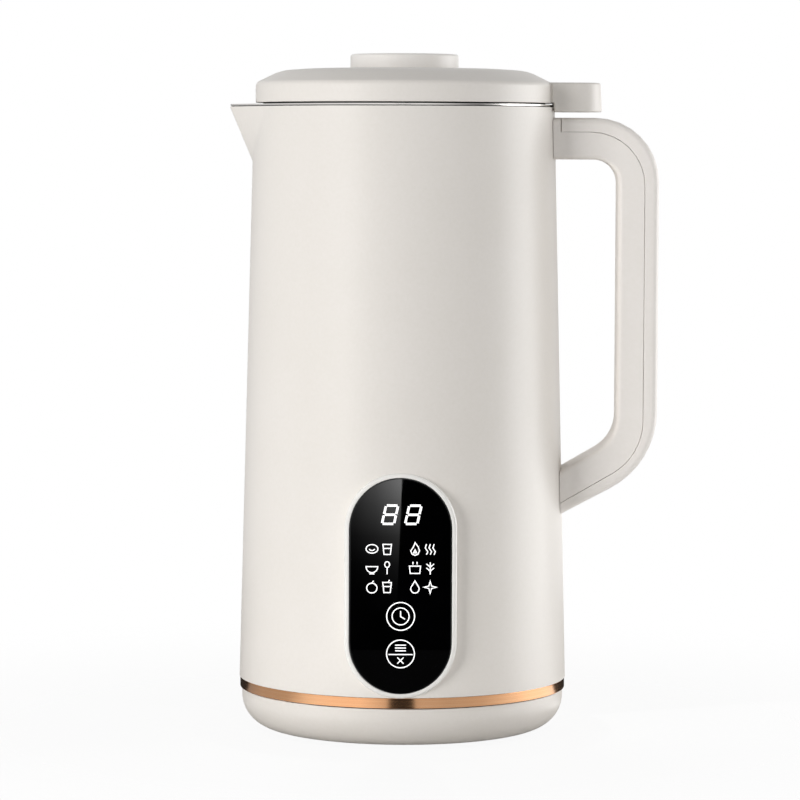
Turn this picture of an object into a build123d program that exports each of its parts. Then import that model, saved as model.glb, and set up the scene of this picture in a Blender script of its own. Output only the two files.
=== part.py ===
from build123d import *
from math import acos, atan2, cos, degrees, radians, sin, sqrt, tan
import os

# Soy milk maker. Lengths are in millimetres and angles in degrees.
# The origin is on the body's axis at the plane it stands on. The handle points to +X, the spout to -X,
# the panel faces -Y and the lid is at the top, +Z.

# Clearances
overrun = 4.0          # how far a cut runs past the face that it opens
seam = 0.1             # between fixed pieces that fit together
rest_gap = 0.2         # under a piece that lifts off
lift_gap = 0.3         # beside a piece that lifts off
shaft_gap = 0.05       # round the turning shaft in its bearings and seal
air_gap = 0.6          # between the armature and its poles

# Heights of the body's layers, from the floor up
foot_proud = 1.5
base_height = 15.8
band_height = 4.6
shell_height = 229.5
neck_height = 0.35     # recess under the steel rim
rim_height = 1.0       # neck and rim together
lid_gap = 0.6

base_bottom = foot_proud
band_bottom = base_bottom + base_height
shell_bottom = band_bottom + band_height
shell_top = shell_bottom + shell_height
rim_top = shell_top + rim_height
lid_bottom = rim_top + lid_gap

# Body shell, a straight taper
shell_foot_radius = 66.0
shell_draw_in = 5.6     # from the foot's radius to the rim's
shell_rim_radius = shell_foot_radius - shell_draw_in
shell_wall = 2.2

# Pouring spout, drawn out of the body below the rim
spout_height = 22.0
spout_stand = 9.75     # how far its tip stands out from the round rim
spout_reach = shell_rim_radius + spout_stand
spout_tip_radius = 5.0
spout_sink = 0.4       # how far its flanks start inside the round wall
spout_gap = 0.5        # between the body's spout and the cup's
spout_shares = (0, 0.15, 0.5, 1)

# Base and band
base_inset = 1.1
base_wall = 2.5
base_corner = 13.0
base_corner_steps = 3  # straight steps that its round corner is turned in
band_inset = 0.3
band_thickness = 2.0
tab_thickness = 2.3
tab_width = 30.0
tab_height = 5.0

# Foot ring, set into the base's floor
foot_radius = 39.5
foot_width = 5.0
foot_height = 2.6

# Steel cup
cup_stand_off = 5.0    # from the body's rim in to the cup
cup_draw_in = 2.8
cup_rim_radius = shell_rim_radius - cup_stand_off
cup_foot_radius = cup_rim_radius - cup_draw_in
cup_wall = 0.8
cup_corner = 8.0
rim_inset = 0.3
neck_inset = 0.9
half_bend_angle = 22.5

# Heater under the cup
plate_margin = 10.6    # from the cup's wall in to the plate's edge
plate_radius = cup_foot_radius - plate_margin
plate_thickness = 3.6
plate_hole_radius = 17.5
heater_margin = 12.0   # from the plate's edge in to the tube's middle
heater_radius = plate_radius - heater_margin
heater_width = 7.0
heater_height = 6.2
heater_open_angle = 50.0
terminal_radius = 1.6
terminal_length = 3.5
cutout_radius = 6.5
cutout_height = 6.0
cutout_ear = 12.0
cutout_ear_thickness = 1.0

# Probes in the cup
probe_radius = 3.0
probe_flange_radius = 5.5
probe_flange = 1.5
probe_margin = 4.0      # from the plate's edge in to the probe's middle
probe_place = plate_radius - probe_margin
probe_height = 13.0
level_probe_drop = 28.4  # from the body's top
level_probe_length = 4.0

# Blade seat in the cup's floor
seat_flange_radius = 15.0
seat_flange_height = 3.0
seat_neck_radius = 9.5
seat_neck_height = 12.5
seat_stem_length = 8.0
seat_bore_gap = 0.4
gasket_height = 1.0
seal_radius = 7.0
seal_height = 6.0
seat_nut_flats = 26.0
seat_nut_height = 5.0

# Shaft, blades and their nut
shaft_radius = 4.0
spacer_flats = 13.0
spacer_height = 3.6
blade_span = 49.0
blade_width = 13.0
blade_tip_width = 5.0
blade_thickness = 1.5
blade_flat = 18.0
blade_bend_angle = 32.0
blade_nut_flats = 11.0
blade_nut_height = 6.5
seat_to_spacer = 0.6

# Motor's laminated stack
stack_height = 24.0
stack_length = 62.0
stack_corner = 7.0
stack_gap = 1.9        # between the stack and the carrier's posts beside it

# Motor carrier, hung under bosses in the shell
post_width = 9.2
post_step = 2.5        # from the stack's end out to the posts' middle
post_place = stack_length / 2 + post_step
screw_step = 3.5       # from the posts' middle out to the screws
carrier_screw_place = post_place + screw_step
carrier_margin = 5.0   # from the screws out to the edge
carrier_size = 2 * (carrier_screw_place + carrier_margin)
carrier_corner = 9.0
carrier_thickness = 3.0
carrier_drop = 15.5    # from the cup's floor down to the carrier's top
carrier_hole_radius = 14.0
boss_radius = 4.2
boss_height = 9.0
post_foot = 30.0

# Motor
damper_height = 3.8
damper_width = 11.2
stack_width = 2 * (post_place - post_width / 2 - stack_gap)
bolt_margin = 3.6      # from the stack's side in to the bolts
bolt_place = stack_width / 2 - bolt_margin
bolt_radius = 2.0
bolt_head_radius = 3.6
bolt_head_height = 2.8
motor_nut_flats = 7.0
motor_nut_height = 2.6
bracket_width = 24.0
bracket_thickness = 3.0
bracket_leg = 6.6
bearing_radius = 11.0
bearing_height = 7.0
bearing_cup_wall = 2.0
bearing_cup_height = 5.0
upper_leg_height = 9.6
bore_radius = 19.2
pole_width = 29.6
coil_width = 5.0
coil_thickness = 4.6
coil_end = 6.0
armature_slots = 12
armature_slot_width = 2.4
armature_slot_depth = 4.0
winding_radius = 15.5
winding_height = 5.4
commutator_radius = 11.0
commutator_height = 9.6
lower_leg_height = 27.0
bracket_stand = 17.7    # from the base's floor up to the lower bracket
brush_width = 6.4
brush_height = 8.0
brush_length = 13.0
holder_wall = 1.2
holder_length = 16.0
fan_radius = 26.0
fan_disc = 1.4
fan_height = 8.5
fan_blades = 9
fan_blade_thickness = 1.3
fan_blade_length = 13.0
fan_hub_radius = 7.0
fan_drop = 4.5

# Base floor: vents and screw towers
vent_count = 12
vent_width = 3.4
vent_inner_radius = 11.0
vent_outer_radius = 31.0
screw_radius = 1.7
screw_grip = 8.0
screw_head_radius = 3.0
screw_head_height = 2.0
shank_sides = 6
head_sides = 10
screw_seat = 3.0

# Panel: glass capsule in a thin trim, in a plane that leans with the body
lens_width = 39.9
lens_height = 83.8
panel_margin = 2.1     # from the shell's lower edge up to the glass
lens_thickness = 2.0
bezel_lip = 0.7
bezel_round = 1.2
bezel_ledge = 2.4
panel_proud = 0.8
panel_seat = 0.9       # thinnest part of the flat seat moulded behind the panel
board_thickness = 1.6
display_width = 20.0
display_height_share = 0.167   # this and the next shares are of the glass's height
display_share = 0.334
guide_width = 32.0
guide_height_share = 0.286
guide_share = 0.0835
guide_cell_width = 13.0
guide_cell_share = 0.067
guide_pitch_x = 16.0
guide_pitch_share = 0.0895
key_shares = (-0.1396, -0.3115)
key_pad_radius = 5.0
clip_width = 6.0
clip_thickness = 1.6
clip_hook = 1.2
clip_share = 0.167     # of the glass's height
chip_size = 10.0
chip_height = 1.6
socket_width = 16.0
socket_height = 5.0

# Handle, drawn in the XZ plane
arm_drop = 4.1         # from the body's top
arm_top = shell_top - arm_drop
arm_height = 16.6
handle_stand = 41.6    # from the body's rim out to the handle's outer side
handle_reach = shell_rim_radius + handle_stand
grip_thickness = 16.4
elbow_height = 108.8
inner_elbow_rise = 10.1  # above the outer elbow
inner_elbow_height = elbow_height + inner_elbow_rise
outer_slope_angle = 27.9
inner_slope_angle = 30.0
cover_slope_angle = 30.0
shoulder_radius = 25.4
elbow_radius = 35.0
inner_shoulder_radius = 9.3
inner_elbow_radius = 16.0
handle_width = 24.0
handle_round = 2.2
cover_thickness = 5.7
cover_start = 2.3      # from the body's wall to the end of the cover on the upper arm
cover_shoulder_radius = 21.4
cover_elbow_radius = 24.3
grip_wall = 3.2
channel_start = 13.0   # solid root in front of the hollow
wire_radius = 2.5
handle_screw_spread = 7.0
handle_screw_grip = 9.0
upper_screw_drop = 9.9   # from the arm's top
upper_screw_height = arm_top - upper_screw_drop
lower_screw_drop = 4.8   # from the outer elbow
lower_screw_height = elbow_height - lower_screw_drop
flat_depth = 1.0       # how far the screw pads stand in from the wall
reed_length = 9.0
reed_width = 5.0
reed_height = 3.0

# Power inlet on the back
inlet_height = 48.0
inlet_width = 27.0
inlet_tall = 20.0
inlet_corner = 3.0
inlet_sink = 0.9       # its face lies this far inside the body's outermost line
inlet_depth = 22.0
inlet_wall = 1.6
recess_depth = 16.0
flange_margin = 4.0
flange_thickness = 2.4
flange_back = 4.4
pin_pitch = 7.0
pin_drop = 2.0
pin_width = 2.0
pin_tall = 4.0
pin_length = 14.0
pin_tail = 5.0

# Mains board, standing in the base on the spout's side
board_inset = 16.0     # from the shell's foot in to the board's face
board_place = shell_foot_radius - board_inset
board_width = 54.0
board_height = 56.0
rail_height = 7.0
rail_width = 8.0
rail_wall = 2.0
rail_place = 20.0
relay_width = 18.0
relay_depth = 10.0
relay_height = 15.0
capacitor_width = 24.0
capacitor_depth = 8.0
capacitor_height = 14.0
transformer_size = 11.0

# Lid
lid_inset = 0.7        # from the body's rim in to the lid's skirt
shoulder_width = 10.0  # of the slope between the skirt and the crest
crest_width = 10.2     # of the slope between the crest and the flat
lid_radius = shell_rim_radius - lid_inset
crest_radius = lid_radius - shoulder_width
lid_flat_radius = crest_radius - crest_width
skirt_height = 8.2
lid_edge = 2.0
lid_rise = 13.5
crest_drop = 0.7
lid_wall = 2.2
feed_radius = 17.4
liner_gap = 4.4        # from the cup's rim in to the liner
liner_radius = cup_rim_radius - liner_gap
liner_wall = 1.6
liner_drop = 12.5      # from the rim down to the liner's floor
chimney_wall = 1.5
seal_lip_drop = 8.0
lid_seal_flange = 2.4
seal_overlap = 1.2     # how far the seal reaches out over the cup's rim
seal_flange_radius = cup_rim_radius + seal_overlap

# Block of the lid that reaches over the handle
block_stand = 18.9     # from the body's rim out to the block's end
block_reach = shell_rim_radius + block_stand
block_width = 26.0
block_gap = 2.3
block_height = 11.7
block_corner = 9.0
block_draft_angle = 3.0
block_start = 0.6
block_wall = 2.4
magnet_length = 9.0
magnet_width = 12.0
magnet_height = 5.0

# Feed cap
cap_radius = 21.7
cap_height = 5.8
cap_edge = 1.2
plug_drop = 9.0
plug_wall = 1.6
cap_seal_height = 2.4
cap_seal_place = 5.0

# Places that follow from the sizes above
spout_root = shell_top - spout_height
floor_top = base_bottom + base_wall
lower_bracket_bottom = floor_top + bracket_stand
fan_top = lower_bracket_bottom - fan_drop
stack_bottom = lower_bracket_bottom + lower_leg_height + 2 * seam
stack_top = stack_bottom + stack_height
bracket_top = stack_top + upper_leg_height
carrier_bottom = bracket_top + damper_height + 2 * seam
carrier_top = carrier_bottom + carrier_thickness
cup_floor = carrier_top + carrier_drop
cup_depth = shell_top - cup_floor
level_height = shell_top - level_probe_drop
lid_top = lid_bottom + lid_rise
skirt_top = lid_bottom + skirt_height
cap_bottom = lid_top + rest_gap
cap_top = cap_bottom + cap_height
arm_bottom = arm_top - arm_height
block_bottom = arm_top + block_gap
panel_height = shell_bottom + lens_height / 2 + panel_margin
taper = degrees(atan2(shell_foot_radius - shell_rim_radius, shell_height))


def body_radius(height):
    """The body's outer radius at a height."""
    share = (height - shell_bottom) / shell_height
    return shell_foot_radius + share * (shell_rim_radius - shell_foot_radius)


def cup_radius(height):
    """The cup's outer radius at a height."""
    share = (height - cup_floor) / cup_depth
    return cup_foot_radius + share * (cup_rim_radius - cup_foot_radius)


def spout_tip(height):
    """How far the spout's ridge stands from the axis at a height."""
    root = body_radius(spout_root)
    return root + (spout_reach - root) * (height - spout_root) / spout_height


def corners(reach):
    """The four corners of a square about the axis."""
    return [(reach, reach), (-reach, reach), (-reach, -reach), (reach, -reach)]


def turned(points, mode=Mode.ADD):
    """A solid turned about the axis from one half of its section."""
    with BuildSketch(Plane.XZ) as section:
        with BuildLine():
            Polyline(*points, close=True)
        make_face()
    revolve(section.sketch, axis=Axis.Z, mode=mode)


def ring(inner, outer, low, high, mode=Mode.ADD):
    """A ring about the axis, or a disc when its inner radius is zero."""
    turned([(inner, low), (outer, low), (outer, high), (inner, high)], mode)


def posts(places, radius, low, high, mode=Mode.ADD):
    """Upright round posts at the places given."""
    with BuildSketch(Plane.XY.offset(low)) as rounds:
        with Locations(*places):
            Circle(radius)
    extrude(rounds.sketch, amount=high - low, mode=mode)


def block(low, high, mode=Mode.ADD):
    """A block from its lowest corner to its highest."""
    size = [b - a for a, b in zip(low, high)]
    with BuildSketch(Plane.XY.offset(low[2])) as footprint:
        with Locations(((low[0] + high[0]) / 2, (low[1] + high[1]) / 2)):
            Rectangle(size[0], size[1])
    extrude(footprint.sketch, amount=size[2], mode=mode)


def square_posts(places, width, low, high, mode=Mode.ADD):
    """Upright square posts at the places given."""
    with BuildSketch(Plane.XY.offset(low)) as squares:
        with Locations(*places):
            Rectangle(width, width)
    extrude(squares.sketch, amount=high - low, mode=mode)


def hexagon(flats, low, high, places=((0, 0),)):
    """Six-sided nuts, heads or spacers, sized across their flats."""
    with BuildSketch(Plane.XY.offset(low)) as outline:
        with Locations(*places):
            RegularPolygon(flats / 2, 6, major_radius=False)
    extrude(outline.sketch, amount=high - low)


def spout_outline(wall, tip, tip_radius):
    """Two flanks from a round wall to a rounded tip, each tangent to both."""
    start = wall - spout_sink
    flank = acos((start - tip_radius) / (tip - tip_radius))
    nose = tip - tip_radius * (1 - cos(flank))
    with BuildLine() as outline:
        Line((-start * cos(flank), start * sin(flank)), (-nose, tip_radius * sin(flank)))
        ThreePointArc((-nose, tip_radius * sin(flank)), (-tip, 0), (-nose, -tip_radius * sin(flank)))
        Line((-nose, -tip_radius * sin(flank)), (-start * cos(flank), -start * sin(flank)))
        Line((-start * cos(flank), -start * sin(flank)), (-start * cos(flank), start * sin(flank)))
    make_face(outline.edges())


def spout(wall_at, tip_at, root, top, tip_radius, mode=Mode.ADD):
    """The spout lofted through its outlines, from its root up."""
    sections = []
    for share in spout_shares:
        height = root + share * (top - root)
        with BuildSketch(Plane.XY.offset(height)) as section:
            spout_outline(wall_at(height), tip_at(height), tip_radius)
        sections.append(section.sketch)
    loft(sections, ruled=True, mode=mode)


def body_form(grown, low, high, mode=Mode.ADD):
    """The body's round taper between two heights, grown by a clearance."""
    turned([(0, low), (body_radius(low) + grown, low), (body_radius(high) + grown, high), (0, high)], mode)


def body_spout(inset, top, mode=Mode.ADD):
    """The body's spout, drawn in by a wall."""
    spout(lambda h: body_radius(h) - inset, lambda h: spout_tip(h) - inset,
          spout_root, top, spout_tip_radius - inset, mode)


# Panel plane: its origin is the middle of the glass's face, its y axis runs up the body
panel_plane = Plane(
    origin=(0, -body_radius(panel_height) - panel_proud, panel_height),
    x_dir=(1, 0, 0),
    z_dir=(0, -cos(radians(taper)), sin(radians(taper))),
)
bezel_width = bezel_lip + bezel_round
pad_half = lens_width / 2 + bezel_width
pad_back = (panel_proud + body_radius(panel_height) + panel_seat
            - sqrt((body_radius(panel_height) - shell_wall) ** 2 - pad_half ** 2))
board_front = pad_back + seam
board_back = board_front + board_thickness


def capsule_block(grown, front, back, mode=Mode.ADD):
    """A block with the glass's outline, between two depths behind its face."""
    with BuildSketch(panel_plane.offset(-back)) as outline:
        SlotOverall(lens_height + 2 * grown, lens_width + 2 * grown, rotation=90)
    extrude(outline.sketch, amount=back - front, mode=mode)


def panel_block(places, width, height, front, back, mode=Mode.ADD):
    """Rectangular blocks behind the glass."""
    with BuildSketch(panel_plane.offset(-back)) as outline:
        with Locations(*places):
            Rectangle(width, height)
    extrude(outline.sketch, amount=back - front, mode=mode)


def write(piece, name):
    """Names a finished piece and writes its file."""
    piece.part.label = name
    export_step(piece.part, f"parts/{name}.step")


os.makedirs("parts", exist_ok=True)

# Outer shell
inlet_face = body_radius(inlet_height) - inlet_sink
flange_front = inlet_face - flange_back
upper_pad = body_radius(upper_screw_height) - shell_wall - flat_depth
lower_pad = body_radius(lower_screw_height) - shell_wall - flat_depth


def handle_rounds(height, radius, start, end, mode=Mode.ADD):
    """Two round bars along X, at the places of a pair of handle screws."""
    with BuildSketch(Plane.YZ.offset(start)) as rounds:
        with Locations((-handle_screw_spread, height), (handle_screw_spread, height)):
            Circle(radius)
    extrude(rounds.sketch, amount=end - start, mode=mode)


def inlet_block(margin, low, high, mode=Mode.ADD):
    """A rounded block with the inlet's outline, between two places along Y."""
    with BuildSketch(Plane.XZ.offset(-low)) as outline:
        with Locations((0, inlet_height)):
            RectangleRounded(inlet_width + 2 * margin, inlet_tall + 2 * margin, inlet_corner)
    extrude(outline.sketch, amount=low - high, mode=mode)


with BuildPart() as shell_core:
    turned([
        (0, shell_bottom - overrun),
        (body_radius(shell_bottom - overrun) - shell_wall, shell_bottom - overrun),
        (body_radius(shell_top + overrun) - shell_wall, shell_top + overrun),
        (0, shell_top + overrun),
    ])
    body_spout(shell_wall, shell_top + overrun)
    capsule_block(bezel_width, 0, pad_back, Mode.SUBTRACT)
    clip_x = lens_width / 2 + seam + clip_thickness / 2
    clip_y = lens_height * clip_share
    clip_places = [(side * clip_x, up * clip_y) for side in (-1, 1) for up in (-1, 1)]
    hook_places = [(side * (clip_x - clip_hook / 2), up * clip_y) for side in (-1, 1) for up in (-1, 1)]
    panel_block(clip_places, clip_thickness, clip_width, 0, board_back + seam + clip_hook, Mode.SUBTRACT)
    panel_block(hook_places, clip_thickness + clip_hook, clip_width,
                board_back + seam, board_back + seam + clip_hook, Mode.SUBTRACT)
    for angle in (45, 135, 225, 315):
        boss_plane = Plane.XY.offset(carrier_top + seam).rotated((0, 0, angle))
        with BuildSketch(boss_plane) as boss:
            boss_reach = carrier_screw_place * sqrt(2)
            with Locations((boss_reach, 0)):
                Circle(boss_radius)
            with Locations(((boss_reach + shell_foot_radius) / 2, 0)):
                Rectangle(shell_foot_radius - boss_reach, 2 * boss_radius)
        extrude(boss.sketch, amount=boss_height, mode=Mode.SUBTRACT)
    inlet_block(flange_margin + seam, flange_front + seam, shell_foot_radius, Mode.SUBTRACT)
    for screw_height, pad in ((upper_screw_height, upper_pad), (lower_screw_height, lower_pad)):
        pad_half_width = handle_screw_spread + screw_head_radius + seam
        block((pad, -pad_half_width, screw_height - screw_head_radius - seam),
              (shell_foot_radius, pad_half_width, screw_height + screw_head_radius + seam), Mode.SUBTRACT)

with BuildPart() as outer_shell:
    body_form(0, shell_bottom, shell_top)
    body_spout(0, shell_top)
    add(shell_core.part, mode=Mode.SUBTRACT)
    capsule_block(seam, -overrun, lens_thickness + seam, Mode.SUBTRACT)
    capsule_block(-bezel_ledge, -overrun, pad_back + overrun, Mode.SUBTRACT)
    inlet_block(seam, flange_front, shell_foot_radius + overrun, Mode.SUBTRACT)
    posts(corners(carrier_screw_place), screw_radius + seam, carrier_top, carrier_top + boss_height - seam,
          Mode.SUBTRACT)
    for screw_height in (upper_screw_height, lower_screw_height):
        handle_rounds(screw_height, screw_radius + seam, cup_foot_radius, shell_foot_radius + overrun,
                      Mode.SUBTRACT)
    with BuildSketch(Plane.YZ.offset(cup_foot_radius)) as wire_hole:
        with Locations((0, upper_screw_height)):
            Circle(wire_radius)
    extrude(wire_hole.sketch, amount=shell_foot_radius + overrun - cup_foot_radius, mode=Mode.SUBTRACT)
write(outer_shell, "outer_shell")

# Base
base_radius = shell_foot_radius - base_inset
tab_outer = body_radius(shell_bottom + tab_height) - shell_wall - seam
with BuildPart() as base_shell:
    step_angles = [radians(90 * step / base_corner_steps) for step in range(base_corner_steps + 1)]
    round_corner = [(base_radius - base_corner * (1 - sin(turn)), base_bottom + base_corner * (1 - cos(turn)))
                    for turn in step_angles]
    turned([
        (0, base_bottom),
        *round_corner,
        (base_radius, band_bottom),
        (base_radius - base_wall, band_bottom),
        (base_radius - base_wall, base_bottom + base_corner),
        (base_radius - base_corner, floor_top),
        (0, floor_top),
    ])
    for angle in (45, 135):
        with BuildSketch(Plane.XY.offset(band_bottom - tab_height)) as tabs:
            Circle(tab_outer)
            Circle(tab_outer - tab_thickness, mode=Mode.SUBTRACT)
            Rectangle(2 * shell_foot_radius, tab_width, rotation=angle, mode=Mode.INTERSECT)
        extrude(tabs.sketch, amount=band_height + 2 * tab_height)
    square_posts(corners(post_place), post_width, floor_top, post_foot - seam)
    for side in (-1, 1):
        rail_y = side * rail_place
        rail_out = board_place + board_thickness + seam + rail_wall
        block((-rail_out, rail_y - rail_width / 2, floor_top),
              (-board_place + seam + rail_wall, rail_y + rail_width / 2, floor_top + rail_height))
        block((-board_place - board_thickness - seam, rail_y - rail_width, floor_top + rail_wall),
              (-board_place + seam, rail_y + rail_width, floor_top + rail_height + overrun), Mode.SUBTRACT)
    ring(foot_radius - foot_width / 2 - seam, foot_radius + foot_width / 2 + seam,
         base_bottom - overrun, foot_height + seam, Mode.SUBTRACT)
    posts(corners(post_place), screw_radius + seam, base_bottom - overrun, post_foot + overrun, Mode.SUBTRACT)
    posts(corners(post_place), screw_head_radius + seam, base_bottom - overrun,
          post_foot - seam - screw_seat, Mode.SUBTRACT)
    with BuildSketch(Plane.XY.offset(base_bottom - overrun)) as vents:
        with PolarLocations((vent_inner_radius + vent_outer_radius) / 2, vent_count):
            Rectangle(vent_outer_radius - vent_inner_radius, vent_width)
    extrude(vents.sketch, amount=base_wall + 2 * overrun, mode=Mode.SUBTRACT)
write(base_shell, "base_shell")

with BuildPart() as foot_ring:
    ring(foot_radius - foot_width / 2, foot_radius + foot_width / 2, 0, foot_height)
write(foot_ring, "foot_ring")

with BuildPart() as decorative_band:
    band_radius = shell_foot_radius - band_inset
    ring(band_radius - band_thickness, band_radius, band_bottom + seam, shell_bottom - seam)
write(decorative_band, "decorative_band")


def screws(places, seat, grip):
    """Screws that stand on a seat's plane, drawn with few sides: a shank along its axis and a head behind it."""
    with BuildSketch(seat) as shank:
        with Locations(*places):
            RegularPolygon(screw_radius, shank_sides)
    extrude(shank.sketch, amount=grip)
    with BuildSketch(seat) as head:
        with Locations(*places):
            RegularPolygon(screw_head_radius, head_sides)
    extrude(head.sketch, amount=-screw_head_height)


with BuildPart() as base_screws:
    screws(corners(post_place), Plane.XY.offset(post_foot - 2 * seam - screw_seat), screw_grip + screw_seat)
write(base_screws, "base_screws")

# Steel cup with its rim
cup_tip_radius = spout_tip_radius - shell_wall
tip_rise = (spout_tip(shell_top) - spout_tip(spout_root)) / spout_height
cup_rise = (cup_rim_radius - cup_foot_radius) / cup_depth
cup_tip_top = spout_tip(shell_top) - shell_wall - spout_gap
cup_spout_root = shell_top - (cup_tip_top - cup_rim_radius) / (tip_rise - cup_rise)


def cup_spout(inset, top, mode=Mode.ADD):
    """The cup's own spout, which lines the body's."""
    spout(lambda h: cup_radius(h) - inset, lambda h: spout_tip(h) - shell_wall - spout_gap - inset,
          cup_spout_root, top, cup_tip_radius - inset, mode)


with BuildPart() as inner_cup:
    corner_height = cup_floor + cup_corner
    bend = cup_wall * tan(radians(half_bend_angle))
    turned([
        (0, cup_floor - cup_wall),
        (cup_foot_radius - cup_corner, cup_floor - cup_wall),
        (cup_radius(corner_height), corner_height),
        (cup_rim_radius, shell_top),
        (0, shell_top),
    ])
    cup_spout(0, shell_top)
    rim_bottom = shell_top + neck_height
    for low, high, inset in ((shell_top, rim_bottom, rim_inset + neck_inset), (rim_bottom, rim_top, rim_inset)):
        with BuildSketch(Plane.XY.offset(low)) as rim:
            Circle(shell_rim_radius - inset)
            spout_outline(shell_rim_radius - inset, spout_reach - inset, spout_tip_radius - inset)
        extrude(rim.sketch, amount=high - low)
    turned([
        (0, cup_floor),
        (cup_foot_radius - cup_corner - bend, cup_floor),
        (cup_radius(corner_height) - cup_wall, corner_height + bend),
        (cup_radius(rim_top + overrun) - cup_wall, rim_top + overrun),
        (0, rim_top + overrun),
    ], Mode.SUBTRACT)
    cup_spout(cup_wall, rim_top + overrun, Mode.SUBTRACT)
    posts([(0, 0)], seat_neck_radius + seam, cup_floor - cup_wall - overrun, cup_floor + cup_wall, Mode.SUBTRACT)
    posts([(0, probe_place)], probe_radius + seam, cup_floor - cup_wall - overrun, cup_floor + cup_wall,
          Mode.SUBTRACT)
    with BuildSketch(Plane.XZ.offset(-cup_foot_radius + overrun)) as level_hole:
        with Locations((0, level_height)):
            Circle(probe_radius + seam)
    extrude(level_hole.sketch, amount=-2 * overrun, mode=Mode.SUBTRACT)
write(inner_cup, "inner_cup")

# Heater
plate_top = cup_floor - cup_wall - seam
plate_bottom = plate_top - plate_thickness
heater_top = plate_bottom - seam
with BuildPart() as heating_plate:
    ring(plate_hole_radius, plate_radius, plate_bottom, plate_top)
    posts([(0, probe_place)], probe_radius + seam, plate_bottom - overrun, plate_top + overrun, Mode.SUBTRACT)
write(heating_plate, "heating_plate")


with BuildPart() as heater_tube:
    heater_middle = heater_top - heater_height / 2
    terminal_turn = radians(heater_open_angle / 2) + heater_width / heater_radius / 2
    terminal_x = -heater_radius * cos(terminal_turn)
    terminal_y = heater_radius * sin(terminal_turn)
    with BuildSketch(Plane.XZ.rotated((0, 0, 180 + heater_open_angle / 2))) as heater_section:
        with Locations((heater_radius, heater_middle)):
            Rectangle(heater_width, heater_height)
    revolve(heater_section.sketch, axis=Axis.Z, revolution_arc=360 - heater_open_angle)
    posts([(terminal_x, terminal_y), (terminal_x, -terminal_y)], terminal_radius,
          heater_top - heater_height - terminal_length, heater_middle)
write(heater_tube, "heater_tube")

with BuildPart() as thermal_cutout:
    posts([(-heater_radius, 0)], cutout_radius, heater_top - cutout_height, heater_top)
    with BuildSketch(Plane.XY.offset(heater_top - cutout_ear_thickness)) as ears:
        with Locations((-heater_radius, 0)):
            SlotOverall(2 * cutout_ear, cutout_radius)
    extrude(ears.sketch, amount=cutout_ear_thickness)
write(thermal_cutout, "thermal_cutout")

with BuildPart() as temperature_probe:
    posts([(0, probe_place)], probe_radius, plate_bottom - probe_flange_radius, cup_floor + probe_height)
    posts([(0, probe_place)], probe_flange_radius, cup_floor + seam, cup_floor + seam + probe_flange)
    chamfer(temperature_probe.faces().sort_by(Axis.Z)[-1].edges(), probe_radius / 3)
write(temperature_probe, "temperature_probe")

level_wall = cup_radius(level_height)
level_face = sqrt((level_wall - cup_wall) ** 2 - probe_flange_radius ** 2) - seam
with BuildPart() as overflow_probe:
    with BuildSketch(Plane.XZ.offset(-level_wall - probe_flange)) as level_stem:
        with Locations((0, level_height)):
            Circle(probe_radius)
    extrude(level_stem.sketch, amount=level_wall + probe_flange - level_face)
    with BuildSketch(Plane.XZ.offset(-level_face)) as level_head:
        with Locations((0, level_height)):
            Circle(probe_flange_radius)
    extrude(level_head.sketch, amount=level_probe_length)
    ball_edge = overflow_probe.faces().sort_by(Axis.Y)[0].edges()
    chamfer(ball_edge, probe_flange)
write(overflow_probe, "overflow_probe")

# Blade seat, gasket, seal and nut in the middle of the cup's floor
gasket_bottom = cup_floor + seam
flange_bottom = gasket_bottom + gasket_height + seam
neck_top = cup_floor + seat_neck_height
seal_bottom = neck_top - seal_height
seat_bottom = cup_floor - seat_stem_length
seat_bore = shaft_radius + seat_bore_gap
with BuildPart() as seat_gasket:
    ring(seat_neck_radius + seam, seat_flange_radius - seam, gasket_bottom, gasket_bottom + gasket_height)
write(seat_gasket, "seat_gasket")

with BuildPart() as blade_seat:
    turned([
        (seat_bore, seat_bottom),
        (seat_neck_radius, seat_bottom),
        (seat_neck_radius, flange_bottom),
        (seat_flange_radius, flange_bottom),
        (seat_flange_radius, flange_bottom + seat_flange_height),
        (seat_neck_radius, flange_bottom + seat_flange_height),
        (seat_neck_radius, neck_top),
        (seal_radius + seam, neck_top),
        (seal_radius + seam, seal_bottom - seam),
        (seat_bore, seal_bottom - seam),
    ])
write(blade_seat, "blade_seat")

with BuildPart() as shaft_seal:
    ring(shaft_radius + shaft_gap, seal_radius, seal_bottom, neck_top - seam)
write(shaft_seal, "shaft_seal")

with BuildPart() as seat_nut:
    nut_top = cup_floor - cup_wall - seam
    hexagon(seat_nut_flats, nut_top - seat_nut_height, nut_top)
    posts([(0, 0)], seat_neck_radius + seam, seat_bottom - overrun, cup_floor, Mode.SUBTRACT)
write(seat_nut, "seat_nut")

# Motor carrier with its four posts
bolt_places = [(0, bolt_place), (0, -bolt_place)]
with BuildPart() as motor_carrier:
    with BuildSketch(Plane.XY.offset(carrier_bottom)) as carrier_outline:
        RectangleRounded(carrier_size, carrier_size, carrier_corner)
        Circle(carrier_hole_radius, mode=Mode.SUBTRACT)
        with Locations(*bolt_places):
            Circle(bolt_radius + seam, mode=Mode.SUBTRACT)
        with Locations(*corners(carrier_screw_place)):
            Circle(screw_radius + seam, mode=Mode.SUBTRACT)
    extrude(carrier_outline.sketch, amount=carrier_thickness)
    square_posts(corners(post_place), post_width, post_foot, carrier_bottom)
    posts(corners(post_place), screw_radius + seam, post_foot - overrun, post_foot + screw_grip + seam,
          Mode.SUBTRACT)
    posts(corners(carrier_screw_place), screw_head_radius + lift_gap, post_foot - overrun, carrier_bottom,
          Mode.SUBTRACT)
write(motor_carrier, "motor_carrier")

with BuildPart() as carrier_screws:
    screws(corners(carrier_screw_place), Plane.XY.offset(carrier_bottom - seam),
           carrier_thickness + boss_height - 2 * seam - screw_seat)
write(carrier_screws, "carrier_screws")

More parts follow.
